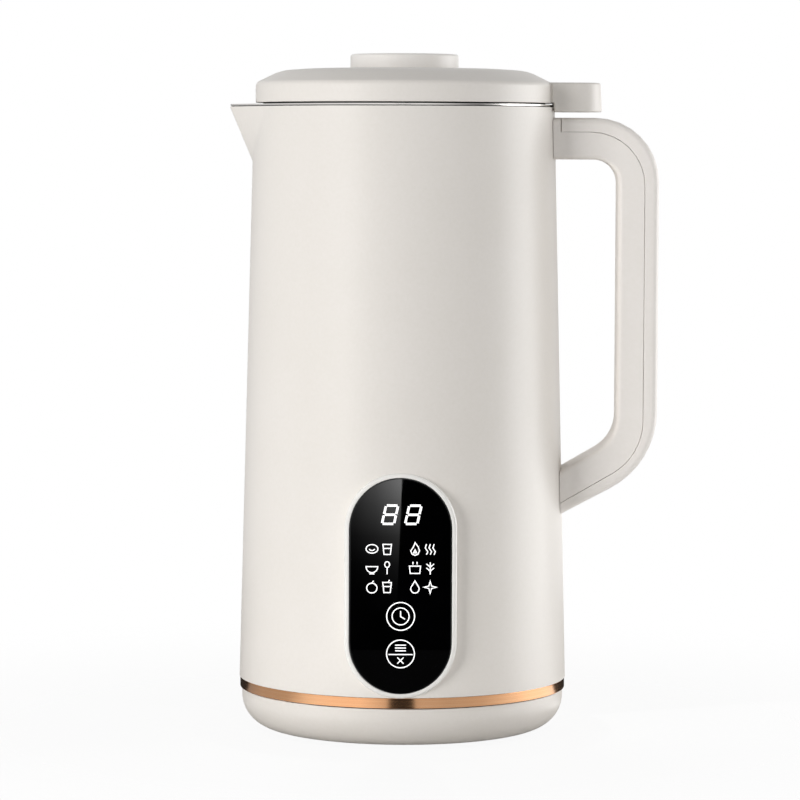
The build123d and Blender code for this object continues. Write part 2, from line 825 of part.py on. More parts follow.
with BuildPart() as motor_dampers:
    square_posts(bolt_places, damper_width, bracket_top + seam, carrier_bottom - seam)
    posts(bolt_places, bolt_radius + seam, bracket_top - overrun, carrier_bottom, Mode.SUBTRACT)
write(motor_dampers, "motor_dampers")

# Motor: laminated stack with two poles on X
coil_x = bore_radius + seam + coil_thickness / 2
coil_y = pole_width / 2 + seam + coil_width / 2
slot_length = coil_thickness + bore_radius / 2
with BuildPart() as stator_core:
    with BuildSketch(Plane.XY.offset(stack_bottom)) as lamination:
        RectangleRounded(stack_length, stack_width, stack_corner)
        Circle(bore_radius, mode=Mode.SUBTRACT)
        slot_places = [(side * (bore_radius + coil_thickness + 2 * seam - slot_length / 2), end * coil_y)
                       for side in (-1, 1) for end in (-1, 1)]
        with Locations(*slot_places):
            Rectangle(slot_length, coil_width + 2 * seam, mode=Mode.SUBTRACT)
        with Locations(*bolt_places):
            Circle(bolt_radius + seam, mode=Mode.SUBTRACT)
    extrude(lamination.sketch, amount=stack_height)
write(stator_core, "stator_core")

with BuildPart() as field_coils:
    for side in (-1, 1):
        x_low, x_high = sorted((side * (coil_x - coil_thickness / 2), side * (coil_x + coil_thickness / 2)))
        coil_out = coil_y + coil_width / 2
        block((x_low, -coil_out, stack_bottom - coil_end), (x_high, coil_out, stack_top + coil_end))
        block((x_low - overrun, -pole_width / 2 - seam, stack_bottom - seam),
              (x_high + overrun, pole_width / 2 + seam, stack_top + seam), Mode.SUBTRACT)
write(field_coils, "field_coils")


def bracket(low, leg_start, leg_end, cup_low, cup_high, arms=()):
    """An end bracket: a bar along Y with two legs, arms along X and a cup for its bearing."""
    with BuildSketch(Plane.XY.offset(low)) as bar:
        Rectangle(bracket_width, stack_width)
        for arm_length, arm_width in arms:
            Rectangle(arm_length, arm_width)
    extrude(bar.sketch, amount=bracket_thickness)
    for side in (-1, 1):
        y_low, y_high = sorted((side * (stack_width / 2 - bracket_leg), side * stack_width / 2))
        block((-bracket_width / 2, y_low, leg_start), (bracket_width / 2, y_high, leg_end))
    ring(0, bearing_radius + seam + bearing_cup_wall, cup_low, cup_high)
    ring(0, bearing_radius + seam, min(cup_low, low) - overrun, max(cup_high, low) + overrun, Mode.SUBTRACT)
    posts(bolt_places, bolt_radius + seam, min(low, leg_start) - overrun,
          max(low + bracket_thickness, leg_end) + overrun, Mode.SUBTRACT)


upper_bar = bracket_top - bracket_thickness
with BuildPart() as upper_bracket:
    bracket(upper_bar, stack_top + seam, bracket_top, upper_bar, upper_bar + bearing_cup_height)
write(upper_bracket, "upper_bracket")

lower_bar = lower_bracket_bottom
with BuildPart() as lower_bracket:
    arm_reach = 2 * (commutator_radius + lift_gap + holder_length)
    bracket(lower_bar, lower_bar, stack_bottom - seam, lower_bar, lower_bar + bearing_cup_height,
            [(arm_reach, brush_width + 4 * holder_wall)])
write(lower_bracket, "lower_bracket")

with BuildPart() as motor_bearings:
    for bearing_bottom in (upper_bar - seam, lower_bar):
        ring(shaft_radius + shaft_gap, bearing_radius, bearing_bottom, bearing_bottom + bearing_height)
write(motor_bearings, "motor_bearings")

bolt_seat = lower_bar - seam
nut_bottom = carrier_top + seam
with BuildPart() as motor_bolts:
    posts(bolt_places, bolt_head_radius, bolt_seat - bolt_head_height, bolt_seat)
    posts(bolt_places, bolt_radius, bolt_seat, nut_bottom + motor_nut_height + seam)
write(motor_bolts, "motor_bolts")

with BuildPart() as motor_nuts:
    hexagon(motor_nut_flats, nut_bottom, nut_bottom + motor_nut_height, bolt_places)
    posts(bolt_places, bolt_radius + seam, nut_bottom - overrun, nut_bottom + 2 * overrun, Mode.SUBTRACT)
write(motor_nuts, "motor_nuts")

# Brushes on the lower bracket's arms
commutator_bottom = lower_bar + bracket_thickness + bearing_height
holder_bottom = lower_bar + bracket_thickness + seam
brush_bottom = commutator_bottom + (commutator_height - brush_height) / 2
holder_top = brush_bottom + brush_height + seam + holder_wall
holder_start = commutator_radius + lift_gap
brush_half = brush_width / 2
with BuildPart() as brush_holders:
    for side in (-1, 1):
        x_low, x_high = sorted((side * holder_start, side * (holder_start + holder_length)))
        block((x_low, -brush_half - seam - holder_wall, holder_bottom),
              (x_high, brush_half + seam + holder_wall, holder_top))
        block((x_low - overrun, -brush_half - seam, brush_bottom - seam),
              (x_high + overrun, brush_half + seam, brush_bottom + brush_height + seam), Mode.SUBTRACT)
    ring(0, bearing_radius + 2 * seam + bearing_cup_wall, lower_bar, lower_bar + bearing_cup_height + seam,
         Mode.SUBTRACT)
write(brush_holders, "brush_holders")

with BuildPart() as carbon_brushes:
    for side in (-1, 1):
        x_low, x_high = sorted((side * (commutator_radius + seam), side * (commutator_radius + brush_length)))
        block((x_low, -brush_half, brush_bottom), (x_high, brush_half, brush_bottom + brush_height))
write(carbon_brushes, "carbon_brushes")

# What turns on the motor's shaft
lower_spacer_bottom = neck_top + seat_to_spacer
lower_blade_bottom = lower_spacer_bottom + spacer_height
upper_spacer_bottom = lower_blade_bottom + blade_thickness
upper_blade_bottom = upper_spacer_bottom + spacer_height
blade_nut_bottom = upper_blade_bottom + blade_thickness + seam
fan_bottom = fan_top - fan_height
with BuildPart() as motor_shaft:
    ring(0, shaft_radius, fan_bottom - seam, blade_nut_bottom + blade_nut_height / 2)
write(motor_shaft, "motor_shaft")

with BuildPart() as armature_core:
    core_radius = bore_radius - air_gap
    ring(shaft_radius, core_radius, stack_bottom, stack_top)
    with BuildSketch(Plane.XY.offset(stack_bottom)) as armature_gaps:
        with PolarLocations(core_radius, armature_slots):
            Rectangle(2 * armature_slot_depth, armature_slot_width)
    extrude(armature_gaps.sketch, amount=stack_height, mode=Mode.SUBTRACT)
write(armature_core, "armature_core")

with BuildPart() as armature_winding:
    for winding_bottom in (stack_top, stack_bottom - winding_height):
        ring(shaft_radius, winding_radius, winding_bottom, winding_bottom + winding_height)
write(armature_winding, "armature_winding")

with BuildPart() as commutator:
    ring(shaft_radius, commutator_radius, commutator_bottom, commutator_bottom + commutator_height)
write(commutator, "commutator")

with BuildPart() as cooling_fan:
    ring(shaft_radius, fan_hub_radius, fan_bottom, fan_top)
    ring(fan_hub_radius, fan_radius, fan_top - fan_disc, fan_top)
    with BuildSketch(Plane.XY.offset(fan_bottom)) as fan_vanes:
        with PolarLocations(fan_radius - fan_blade_length / 2, fan_blades):
            Rectangle(fan_blade_length, fan_blade_thickness)
    extrude(fan_vanes.sketch, amount=fan_height - fan_disc)
write(cooling_fan, "cooling_fan")

with BuildPart() as blade_spacers:
    for spacer_bottom in (lower_spacer_bottom, upper_spacer_bottom):
        hexagon(spacer_flats, spacer_bottom, spacer_bottom + spacer_height)
    ring(0, shaft_radius, lower_spacer_bottom - overrun, upper_blade_bottom + overrun, Mode.SUBTRACT)
write(blade_spacers, "blade_spacers")


def blade(bottom, bend):
    """A stamped blade: a flat middle and two pointed wings, bent up or down."""
    wing = blade_span / 2 - blade_flat / 2
    rise = wing * tan(radians(bend))
    flat = blade_flat / 2
    tip = blade_span / 2
    top = bottom + blade_thickness
    with BuildSketch(Plane.XZ) as side_view:
        with BuildLine():
            Polyline((-tip, bottom + rise), (-flat, bottom), (flat, bottom), (tip, bottom + rise),
                     (tip, top + rise), (flat, top), (-flat, top), (-tip, top + rise), close=True)
        make_face()
    extrude(side_view.sketch, amount=blade_width / 2, both=True)
    with BuildSketch(Plane.XY.offset(bottom - abs(rise) - overrun)) as plan_view:
        with BuildLine():
            Polyline((-tip, -blade_width / 2), (-flat, -blade_width / 2), (tip, blade_width / 2 - blade_tip_width),
                     (tip, blade_width / 2), (flat, blade_width / 2), (-tip, blade_tip_width - blade_width / 2),
                     close=True)
        make_face()
    extrude(plan_view.sketch, amount=2 * abs(rise) + 2 * overrun, mode=Mode.INTERSECT)
    ring(0, shaft_radius, bottom - overrun, top + overrun, Mode.SUBTRACT)


with BuildPart() as lower_blade:
    blade(lower_blade_bottom, -blade_bend_angle / 2)
write(lower_blade, "lower_blade")

with BuildPart() as upper_blade:
    blade(upper_blade_bottom, blade_bend_angle)
upper_blade.part = upper_blade.part.rotate(Axis.Z, 90)
write(upper_blade, "upper_blade")

with BuildPart() as blade_nut:
    hexagon(blade_nut_flats, blade_nut_bottom, blade_nut_bottom + blade_nut_height)
    ring(0, shaft_radius, blade_nut_bottom - overrun, blade_nut_bottom + blade_nut_height / 2, Mode.SUBTRACT)
write(blade_nut, "blade_nut")

# Panel: trim, glass, lights, keys and board
with BuildPart() as panel_bezel:
    capsule_block(bezel_width, 0, lens_width / 2)
    chamfer(panel_bezel.faces().sort_by(Axis.Y)[0].edges(), bezel_round)
    capsule_block(seam, -overrun, lens_thickness + seam, Mode.SUBTRACT)
    capsule_block(-bezel_ledge, -overrun, lens_width, Mode.SUBTRACT)
    body_form(seam, shell_bottom - overrun, panel_height + lens_height, Mode.SUBTRACT)
write(panel_bezel, "panel_bezel")

with BuildPart() as panel_lens:
    capsule_block(0, 0, lens_thickness)
write(panel_lens, "panel_lens")

light_front = lens_thickness + seam
light_back = board_front - seam
display_place = lens_height * display_share
guide_place = lens_height * guide_share
guide_pitch_y = lens_height * guide_pitch_share
key_places = [lens_height * share for share in key_shares]
with BuildPart() as display_module:
    display_height = lens_height * display_height_share
    panel_block([(0, display_place)], display_width, display_height, light_front, light_back)
write(display_module, "display_module")

with BuildPart() as light_guide:
    panel_block([(0, guide_place)], guide_width, lens_height * guide_height_share, light_front, light_back)
    cells = [(side * guide_pitch_x / 2, guide_place + row * guide_pitch_y) for side in (-1, 1) for row in (-1, 0, 1)]
    panel_block(cells, guide_cell_width, lens_height * guide_cell_share, light_front - overrun,
                light_back + overrun, Mode.SUBTRACT)
write(light_guide, "light_guide")

with BuildPart() as touch_pads:
    with BuildSketch(panel_plane.offset(-light_back)) as pads:
        with Locations(*[(0, key) for key in key_places]):
            Circle(key_pad_radius)
    extrude(pads.sketch, amount=light_back - light_front)
write(touch_pads, "touch_pads")

with BuildPart() as control_board:
    capsule_block(0, board_front, board_back)
    panel_block([(0, guide_place)], chip_size, chip_size, board_back, board_back + chip_height)
    panel_block([(0, key_places[0])], socket_width, socket_height, board_back, board_back + socket_height)
write(control_board, "control_board")


def handle_corners(top, side, elbow, slope, inset, start, end):
    """The corners of a handle line from its top arm down to its lower root, drawn in by an inset."""
    rise = tan(radians(slope))
    elbow_shift = inset * (1 - sin(radians(slope))) / cos(radians(slope))
    elbow_z = elbow + elbow_shift
    side_x = side - inset
    return [(start, top - inset), (side_x, top - inset), (side_x, elbow_z), (end, elbow_z - (side_x - end) * rise)]


def outer_line(inset, start, end):
    return handle_corners(arm_top, handle_reach, elbow_height, outer_slope_angle, inset, start, end)


def inner_line(outset, start, end):
    return handle_corners(arm_bottom, handle_reach - grip_thickness, inner_elbow_height, inner_slope_angle,
                          -outset, start, end)


def handle_band(outer_inset, inner_outset, outer_start, inner_start, end, width, mode=Mode.ADD):
    """A slice of the handle between a line that follows its outside and one that follows its inside."""
    outside = outer_line(outer_inset, outer_start, end)
    inside = inner_line(inner_outset, inner_start, end)
    radii = [0, shoulder_radius - outer_inset, elbow_radius - outer_inset, 0,
             0, inner_elbow_radius + inner_outset, inner_shoulder_radius + inner_outset, 0]
    with BuildSketch(Plane.XZ) as outline:
        with BuildLine():
            FilletPolyline(*outside, *reversed(inside), radius=radii, close=True)
        make_face()
    extrude(outline.sketch, amount=width / 2, both=True, mode=mode)


def cover_band(gap, start, mode=Mode.ADD):
    """The slice of the handle outside the line where its two halves meet, which nears the outer edge as it
    runs down the lower arm."""
    outside = outer_line(-overrun, start, root_x)
    inside = handle_corners(arm_top, handle_reach, elbow_height, cover_slope_angle, cover_thickness - gap,
                            start, root_x)
    radii = [0, shoulder_radius + overrun, elbow_radius + overrun, 0,
             0, cover_elbow_radius + gap, cover_shoulder_radius + gap, 0]
    with BuildSketch(Plane.XZ) as outline:
        with BuildLine():
            FilletPolyline(*outside, *reversed(inside), radius=radii, close=True)
        make_face()
    extrude(outline.sketch, amount=handle_width / 2 + overrun, both=True, mode=mode)


# Handle
root_x = shell_rim_radius - 2 * overrun
cover_x = body_radius(arm_top) + cover_start
hollow_start = body_radius(arm_top) + channel_start
hollow_end = body_radius(lower_screw_height) + channel_start
hollow_width = handle_width - 2 * grip_wall
with BuildPart() as handle_form:
    handle_band(0, 0, root_x, root_x, root_x, handle_width)
    chamfer(handle_form.faces().filter_by(Axis.Y).edges(), handle_round)
    body_form(seam, shell_bottom, shell_top + overrun, Mode.SUBTRACT)

with BuildPart() as handle_grip:
    add(handle_form.part)
    cover_band(0, cover_x, Mode.SUBTRACT)
    handle_band(cover_thickness - overrun, grip_wall, hollow_start, hollow_start, hollow_end, hollow_width,
                Mode.SUBTRACT)
    for screw_height in (upper_screw_height, lower_screw_height):
        handle_rounds(screw_height, screw_radius + seam, root_x,
                      body_radius(screw_height) + handle_screw_grip, Mode.SUBTRACT)
    with BuildSketch(Plane.YZ.offset(root_x)) as wire_way:
        with Locations((0, upper_screw_height)):
            Circle(wire_radius)
    extrude(wire_way.sketch, amount=hollow_start - root_x + overrun, mode=Mode.SUBTRACT)
write(handle_grip, "handle_grip")

with BuildPart() as handle_cover:
    add(handle_form.part)
    cover_band(seam, cover_x + seam, Mode.INTERSECT)
write(handle_cover, "handle_cover")

with BuildPart() as handle_screws:
    for screw_height, pad in ((upper_screw_height, upper_pad), (lower_screw_height, lower_pad)):
        screws([(-handle_screw_spread, screw_height), (handle_screw_spread, screw_height)],
               Plane.YZ.offset(pad - seam), body_radius(screw_height) + handle_screw_grip - pad)
write(handle_screws, "handle_screws")

with BuildPart() as reed_sensor:
    reed_end = hollow_start + seam + reed_length
    past_bend = max(0, reed_end - (handle_reach - cover_thickness - cover_shoulder_radius))
    bend_drop = cover_shoulder_radius - sqrt(cover_shoulder_radius ** 2 - past_bend ** 2)
    reed_top = arm_top - cover_thickness - bend_drop
    block((hollow_start + seam, -reed_width / 2, reed_top - reed_height), (reed_end, reed_width / 2, reed_top))
write(reed_sensor, "reed_sensor")

# Power inlet on the back
with BuildPart() as power_inlet:
    inlet_block(0, inlet_face - inlet_depth, inlet_face)
    inlet_block(flange_margin, flange_front - flange_thickness, flange_front)
    inlet_block(-inlet_wall, inlet_face - recess_depth, inlet_face + overrun, Mode.SUBTRACT)
    pin_places = [(-pin_pitch, inlet_height - pin_drop), (0, inlet_height + pin_drop),
                  (pin_pitch, inlet_height - pin_drop)]
    with BuildSketch(Plane.XZ.offset(-inlet_face + recess_depth - overrun)) as pin_holes:
        with Locations(*pin_places):
            Rectangle(pin_width + 2 * seam, pin_tall + 2 * seam)
    extrude(pin_holes.sketch, amount=inlet_depth, mode=Mode.SUBTRACT)
write(power_inlet, "power_inlet")

with BuildPart() as inlet_pins:
    with BuildSketch(Plane.XZ.offset(-inlet_face + recess_depth - pin_length)) as pins:
        with Locations(*pin_places):
            Rectangle(pin_width, pin_tall)
    extrude(pins.sketch, amount=pin_length + inlet_depth - recess_depth + pin_tail)
write(inlet_pins, "inlet_pins")

# Mains board with its parts
with BuildPart() as power_board:
    foot = floor_top + rail_wall + seam
    face = -board_place
    block((face - board_thickness, -board_width / 2, foot), (face, board_width / 2, foot + board_height))
    relay_z = foot + board_height - relay_height - rail_wall
    block((face, -board_width / 2 + rail_wall, relay_z),
          (face + relay_depth, -board_width / 2 + rail_wall + relay_width, relay_z + relay_height))
    block((face, board_width / 2 - rail_wall - capacitor_width, relay_z),
          (face + capacitor_depth, board_width / 2 - rail_wall, relay_z + capacitor_height))
    block((face, -transformer_size / 2, foot + board_height / 3),
          (face + transformer_size, transformer_size / 2, foot + board_height / 3 + transformer_size))
write(power_board, "power_board")

# Lid cover with the block over the handle
lid_slope = (lid_rise - skirt_height - crest_drop) / (lid_radius - crest_radius)
edge_height = skirt_top + lid_edge * lid_slope
chimney_outer = feed_radius + chimney_wall
block_inner = shell_rim_radius + block_start
with BuildPart() as lid_cover:
    turned([
        (feed_radius, lid_top - lid_wall),
        (lid_flat_radius, lid_top - lid_wall),
        (lid_radius - lid_wall, skirt_top - lid_edge),
        (lid_radius - lid_wall, lid_bottom),
        (lid_radius, lid_bottom),
        (lid_radius, skirt_top - lid_edge),
        (lid_radius - lid_edge, edge_height),
        (crest_radius, lid_top - crest_drop),
        (lid_flat_radius, lid_top),
        (feed_radius, lid_top),
    ])
    with BuildSketch(Plane.XY.offset(block_bottom)) as block_outline:
        with BuildLine():
            half = block_width / 2
            block_root = lid_radius - lid_wall
            FilletPolyline((block_root, -half), (block_reach, -half), (block_reach, half), (block_root, half),
                           radius=[0, block_corner, block_corner, 0], close=True)
        make_face()
    extrude(block_outline.sketch, amount=block_height, taper=block_draft_angle)
    with BuildSketch(Plane.XY.offset(block_bottom + block_wall)) as block_hollow:
        hollow_low = block_inner + block_wall
        hollow_high = block_reach - 2 * block_wall
        with Locations(((hollow_low + hollow_high) / 2, 0)):
            Rectangle(hollow_high - hollow_low, block_width - 3 * block_wall)
    extrude(block_hollow.sketch, amount=-block_wall - overrun, mode=Mode.SUBTRACT)
    extrude(block_hollow.sketch, amount=magnet_height + 2 * seam, mode=Mode.SUBTRACT)
    ring(0, block_inner, block_bottom - overrun, lid_bottom, Mode.SUBTRACT)
    ring(0, lid_radius - lid_wall, block_bottom - overrun, skirt_top - lid_edge, Mode.SUBTRACT)
write(lid_cover, "lid_cover")

with BuildPart() as lid_magnet:
    magnet_x = (hollow_low + hollow_high) / 2
    magnet_bottom = block_bottom + block_wall + seam
    block((magnet_x - magnet_length / 2, -magnet_width / 2, magnet_bottom),
          (magnet_x + magnet_length / 2, magnet_width / 2, magnet_bottom + magnet_height))
write(lid_magnet, "lid_magnet")

with BuildPart() as magnet_cover:
    with BuildSketch(Plane.XY.offset(block_bottom)) as cover_outline:
        with Locations((magnet_x, 0)):
            Rectangle(hollow_high - hollow_low - 2 * seam, block_width - 3 * block_wall - 2 * seam)
    extrude(cover_outline.sketch, amount=block_wall)
write(magnet_cover, "magnet_cover")

# Lid liner, which closes the cover from below, and its seal
seal_bottom_height = rim_top + rest_gap
liner_floor = rim_top - liner_drop
flange_low = seal_bottom_height + lid_seal_flange + seam
with BuildPart() as lid_liner:
    turned([
        (feed_radius, liner_floor),
        (liner_radius, liner_floor),
        (liner_radius, flange_low),
        (seal_flange_radius, flange_low),
        (seal_flange_radius, flange_low + liner_wall),
        (liner_radius - liner_wall, flange_low + liner_wall),
        (liner_radius - liner_wall, liner_floor + liner_wall),
        (chimney_outer, liner_floor + liner_wall),
        (chimney_outer, lid_top - lid_wall - seam),
        (feed_radius, lid_top - lid_wall - seam),
    ])
write(lid_liner, "lid_liner")

with BuildPart() as lid_seal:
    lip_radius = cup_radius(rim_top - seal_lip_drop) - cup_wall - lift_gap
    turned([
        (liner_radius + seam, rim_top - seal_lip_drop),
        (lip_radius, rim_top - seal_lip_drop),
        (lip_radius, seal_bottom_height),
        (seal_flange_radius, seal_bottom_height),
        (seal_flange_radius, seal_bottom_height + lid_seal_flange),
        (liner_radius + seam, seal_bottom_height + lid_seal_flange),
    ])
write(lid_seal, "lid_seal")

# Feed cap with its plug and seal
plug_radius = feed_radius - 2 * lift_gap - seam
plug_bottom = cap_bottom - plug_drop
seal_low = cap_bottom - cap_seal_place
with BuildPart() as feed_cap:
    turned([
        (0, cap_bottom),
        (plug_radius - plug_wall, cap_bottom),
        (plug_radius - plug_wall, plug_bottom),
        (plug_radius, plug_bottom),
        (plug_radius, cap_bottom),
        (cap_radius, cap_bottom),
        (cap_radius, cap_top - cap_edge),
        (cap_radius - cap_edge, cap_top),
        (0, cap_top),
    ])
write(feed_cap, "feed_cap")

with BuildPart() as cap_seal:
    ring(plug_radius + seam, feed_radius - lift_gap, seal_low, seal_low + cap_seal_height)
write(cap_seal, "cap_seal")
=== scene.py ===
import math

import bmesh
import bpy
from mathutils import Matrix, Vector, geometry


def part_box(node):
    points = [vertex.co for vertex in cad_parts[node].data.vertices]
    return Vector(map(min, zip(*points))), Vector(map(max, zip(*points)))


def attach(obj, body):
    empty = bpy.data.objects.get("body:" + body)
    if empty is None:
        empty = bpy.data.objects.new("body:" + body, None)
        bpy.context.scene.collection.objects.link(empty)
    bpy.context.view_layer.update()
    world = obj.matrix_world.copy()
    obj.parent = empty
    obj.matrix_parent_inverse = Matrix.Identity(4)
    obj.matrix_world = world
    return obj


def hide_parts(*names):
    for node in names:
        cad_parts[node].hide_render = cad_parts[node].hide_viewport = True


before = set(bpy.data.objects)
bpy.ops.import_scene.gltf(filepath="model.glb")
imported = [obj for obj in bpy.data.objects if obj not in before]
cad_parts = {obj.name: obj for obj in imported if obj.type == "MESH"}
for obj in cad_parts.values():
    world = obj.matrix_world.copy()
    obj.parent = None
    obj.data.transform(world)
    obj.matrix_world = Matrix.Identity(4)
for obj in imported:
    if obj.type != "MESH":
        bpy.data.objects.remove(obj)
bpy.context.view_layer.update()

# Soy milk maker. Sizes here are in millimetres, and meshes are written in metres.
MM = 0.001


def limits(node):
    """A CAD node's lowest and highest corner, in millimetres."""
    low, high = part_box(node)
    return low / MM, high / MM


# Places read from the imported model
body_low, body_high = limits("outer_shell")
lid_low, lid_high = limits("lid_cover")
cap_low, cap_high = limits("feed_cap")
base_low, base_high = limits("base_shell")
band_low, band_high = limits("decorative_band")
cover_high = limits("handle_cover")[1]

body_foot_radius = body_high.y
body_rim_radius = 60.4
body_height = body_high.z - body_low.z
taper = math.atan2(body_foot_radius - body_rim_radius, body_height)


def body_radius(height):
    """The body's outer radius at a height."""
    share = (height - body_low.z) / body_height
    return body_foot_radius + share * (body_rim_radius - body_foot_radius)


# Materials

def linear(code):
    """An sRGB hex colour as linear values."""
    shares = [int(code[i:i + 2], 16) / 255 for i in (1, 3, 5)]
    return [s / 12.92 if s <= 0.04045 else ((s + 0.055) / 1.055) ** 2.4 for s in shares] + [1.0]


def add(tree, kind, inputs=None, **settings):
    """Adds a node with its settings. An input is a plain value or the socket that feeds it."""
    made = tree.nodes.new(kind)
    for name, value in settings.items():
        setattr(made, name, value)
    for name, value in (inputs or {}).items():
        if isinstance(value, bpy.types.NodeSocket):
            tree.links.new(value, made.inputs[name])
        else:
            made.inputs[name].default_value = value
    return made


def new_material(name, **sockets):
    """A material whose shader has these constants, with its tree and shader."""
    made = bpy.data.materials.new(name)
    made.use_nodes = True
    shader = made.node_tree.nodes["Principled BSDF"]
    for socket, value in sockets.items():
        shader.inputs[socket.replace("_", " ")].default_value = value
    return made, made.node_tree, shader


def grid(tree, size, stretch=(1, 1, 1)):
    """Object coordinates scaled so that one unit is a real size in millimetres."""
    place = add(tree, "ShaderNodeTexCoord")
    return add(tree, "ShaderNodeMapping", {
        "Vector": place.outputs["Object"],
        "Scale": [share / (size * MM) for share in stretch],
    }).outputs["Vector"]


def turned_lines(tree, size):
    """Distance from the axis and height, so that a pattern becomes lines round the object."""
    place = add(tree, "ShaderNodeTexCoord")
    flat = add(tree, "ShaderNodeVectorMath", {0: place.outputs["Object"], 1: (1, 1, 0)}, operation="MULTIPLY")
    reach = add(tree, "ShaderNodeVectorMath", {0: flat.outputs[0]}, operation="LENGTH")
    split = add(tree, "ShaderNodeSeparateXYZ", {"Vector": place.outputs["Object"]})
    pair = add(tree, "ShaderNodeCombineXYZ", {"X": reach.outputs["Value"], "Y": split.outputs["Z"]})
    return add(tree, "ShaderNodeVectorMath", {0: pair.outputs[0], "Scale": 1 / (size * MM)},
               operation="SCALE").outputs[0]


def surface(name, colours, roughness, grain, bump, stretch=(1, 1, 1), turned=False, **sockets):
    """A finish whose colour and roughness drift over its surface, with a fine relief from the same grain.

    colours are its darker and lighter tone, roughness its range, and grain and bump are in millimetres.
    """
    made, tree, shader = new_material(name, **sockets)
    drift = add(tree, "ShaderNodeTexNoise", {"Vector": grid(tree, 35), "Scale": 1, "Detail": 3})
    space = turned_lines(tree, grain) if turned else grid(tree, grain, stretch)
    fine = add(tree, "ShaderNodeTexNoise", {"Vector": space, "Scale": 1, "Detail": 2})
    both = add(tree, "ShaderNodeMath", {0: drift.outputs["Fac"], 1: fine.outputs["Fac"]}, operation="ADD")
    tone = add(tree, "ShaderNodeMapRange", {"Value": both.outputs[0], "From Min": 0.7, "From Max": 1.3})
    colour = add(tree, "ShaderNodeMix", {
        "Factor": tone.outputs["Result"], "A": linear(colours[0]), "B": linear(colours[1]),
    }, data_type="RGBA")
    tree.links.new(colour.outputs["Result"], shader.inputs["Base Color"])
    rough = add(tree, "ShaderNodeMapRange", {
        "Value": fine.outputs["Fac"], "From Min": 0.3, "From Max": 0.7,
        "To Min": roughness[0], "To Max": roughness[1],
    })
    tree.links.new(rough.outputs["Result"], shader.inputs["Roughness"])
    relief = add(tree, "ShaderNodeBump", {
        "Height": fine.outputs["Fac"], "Strength": 1, "Distance": bump * MM,
    })
    tree.links.new(relief.outputs["Normal"], shader.inputs["Normal"])
    return made


# Painted ABS: a satin lacquer whose faint orange peel, some 1.4 mm across, breaks up its soft highlights
cream = surface("satin_lacquered_abs", ("#E9E4DD", "#ECE7E1"), (0.34, 0.42), 1.4, 0.0015, IOR=1.5)
# The knob and the handle take the same lacquer made a little lighter: painted light, making up for the shade
# that falls on them
knob_cream_painted_light = surface("knob_abs_painted_lighter", ("#FAF6F1", "#FCF9F5"), (0.32, 0.4), 1.4, 0.0015, IOR=1.5)
handle_cream_painted_light = surface("handle_abs_painted_lighter", ("#F5F0EA", "#F8F3EE"), (0.34, 0.42), 1.4, 0.0015, IOR=1.5)
# Trim moulded in a polished tool: whiter and sharper in its highlights than the lacquer
ivory = surface("polished_abs_trim", ("#F3F1ED", "#F8F6F2"), (0.2, 0.26), 2.0, 0.001, IOR=1.53)
# Toughened glass printed black on its back: deep black under a flat, sharp gloss
glass = surface("back_printed_glass", ("#010101", "#020203"), (0.006, 0.012), 8, 0.0001, IOR=1.52)
# Anodised aluminium strip, polished along its length: fine lines that run round the body
rose_gold = surface("rose_gold_anodised_aluminium", ("#D39A6E", "#E0AE84"), (0.10, 0.17), 0.35, 0.0006,
                    turned=True, Metallic=1.0)
# Deep-drawn and spun stainless steel: satin, with lines round its axis
steel = surface("spun_stainless_steel", ("#C9C7C3", "#D6D4D0"), (0.18, 0.3), 0.4, 0.001,
                turned=True, Metallic=1.0)
stamped = surface("stamped_stainless_steel", ("#BDBBB8", "#D2D0CC"), (0.2, 0.34), 0.6, 0.003, Metallic=1.0)
zinc = surface("zinc_plated_steel", ("#A9ADB2", "#BFC2C5"), (0.28, 0.4), 0.8, 0.002, Metallic=1.0)
cast = surface("cast_aluminium", ("#A6A8AA", "#B9BBBC"), (0.42, 0.58), 0.9, 0.02, Metallic=1.0)
silicone = surface("moulded_silicone", ("#8F8C87", "#9C9994"), (0.55, 0.68), 1.0, 0.006, IOR=1.41)
# The same rubber in black: painted shade, so that the gaps at the rim read as the fine dark lines of their
# shadow
black_silicone_painted_shade = surface("black_silicone_as_painted_shade", ("#121211", "#1B1A19"), (0.6, 0.72), 1.0, 0.006, IOR=1.41)
pale_plastic = surface("moulded_polypropylene", ("#E2DFD8", "#EAE7E1"), (0.36, 0.46), 0.8, 0.006, IOR=1.49)
black_plastic = surface("moulded_black_nylon", ("#17181A", "#222325"), (0.42, 0.55), 0.7, 0.01, IOR=1.53)
laminated = surface("stacked_electrical_steel", ("#4A4B4D", "#6A6B6E"), (0.4, 0.55), 0.5, 0.03,
                    (0.1, 0.1, 1), Metallic=0.8)
copper = surface("enamelled_copper_winding", ("#8E4E24", "#C07A45"), (0.25, 0.35), 0.5, 0.05,
                 (0.2, 0.2, 1), Metallic=0.8)
board = surface("solder_masked_board", ("#123F26", "#1B5A37"), (0.3, 0.42), 1.5, 0.01, IOR=1.5)
carbon = surface("pressed_carbon", ("#1D1D1F", "#2B2B2D"), (0.5, 0.65), 0.3, 0.01, IOR=1.6)
# Clear windows in the black print, with white light behind them
lit = surface("back_lit_print", ("#F4F4F4", "#FFFFFF"), (0.3, 0.4), 1.0, 0.0005, IOR=1.5,
              Emission_Color=linear("#FFFFFF"), Emission_Strength=0.55)

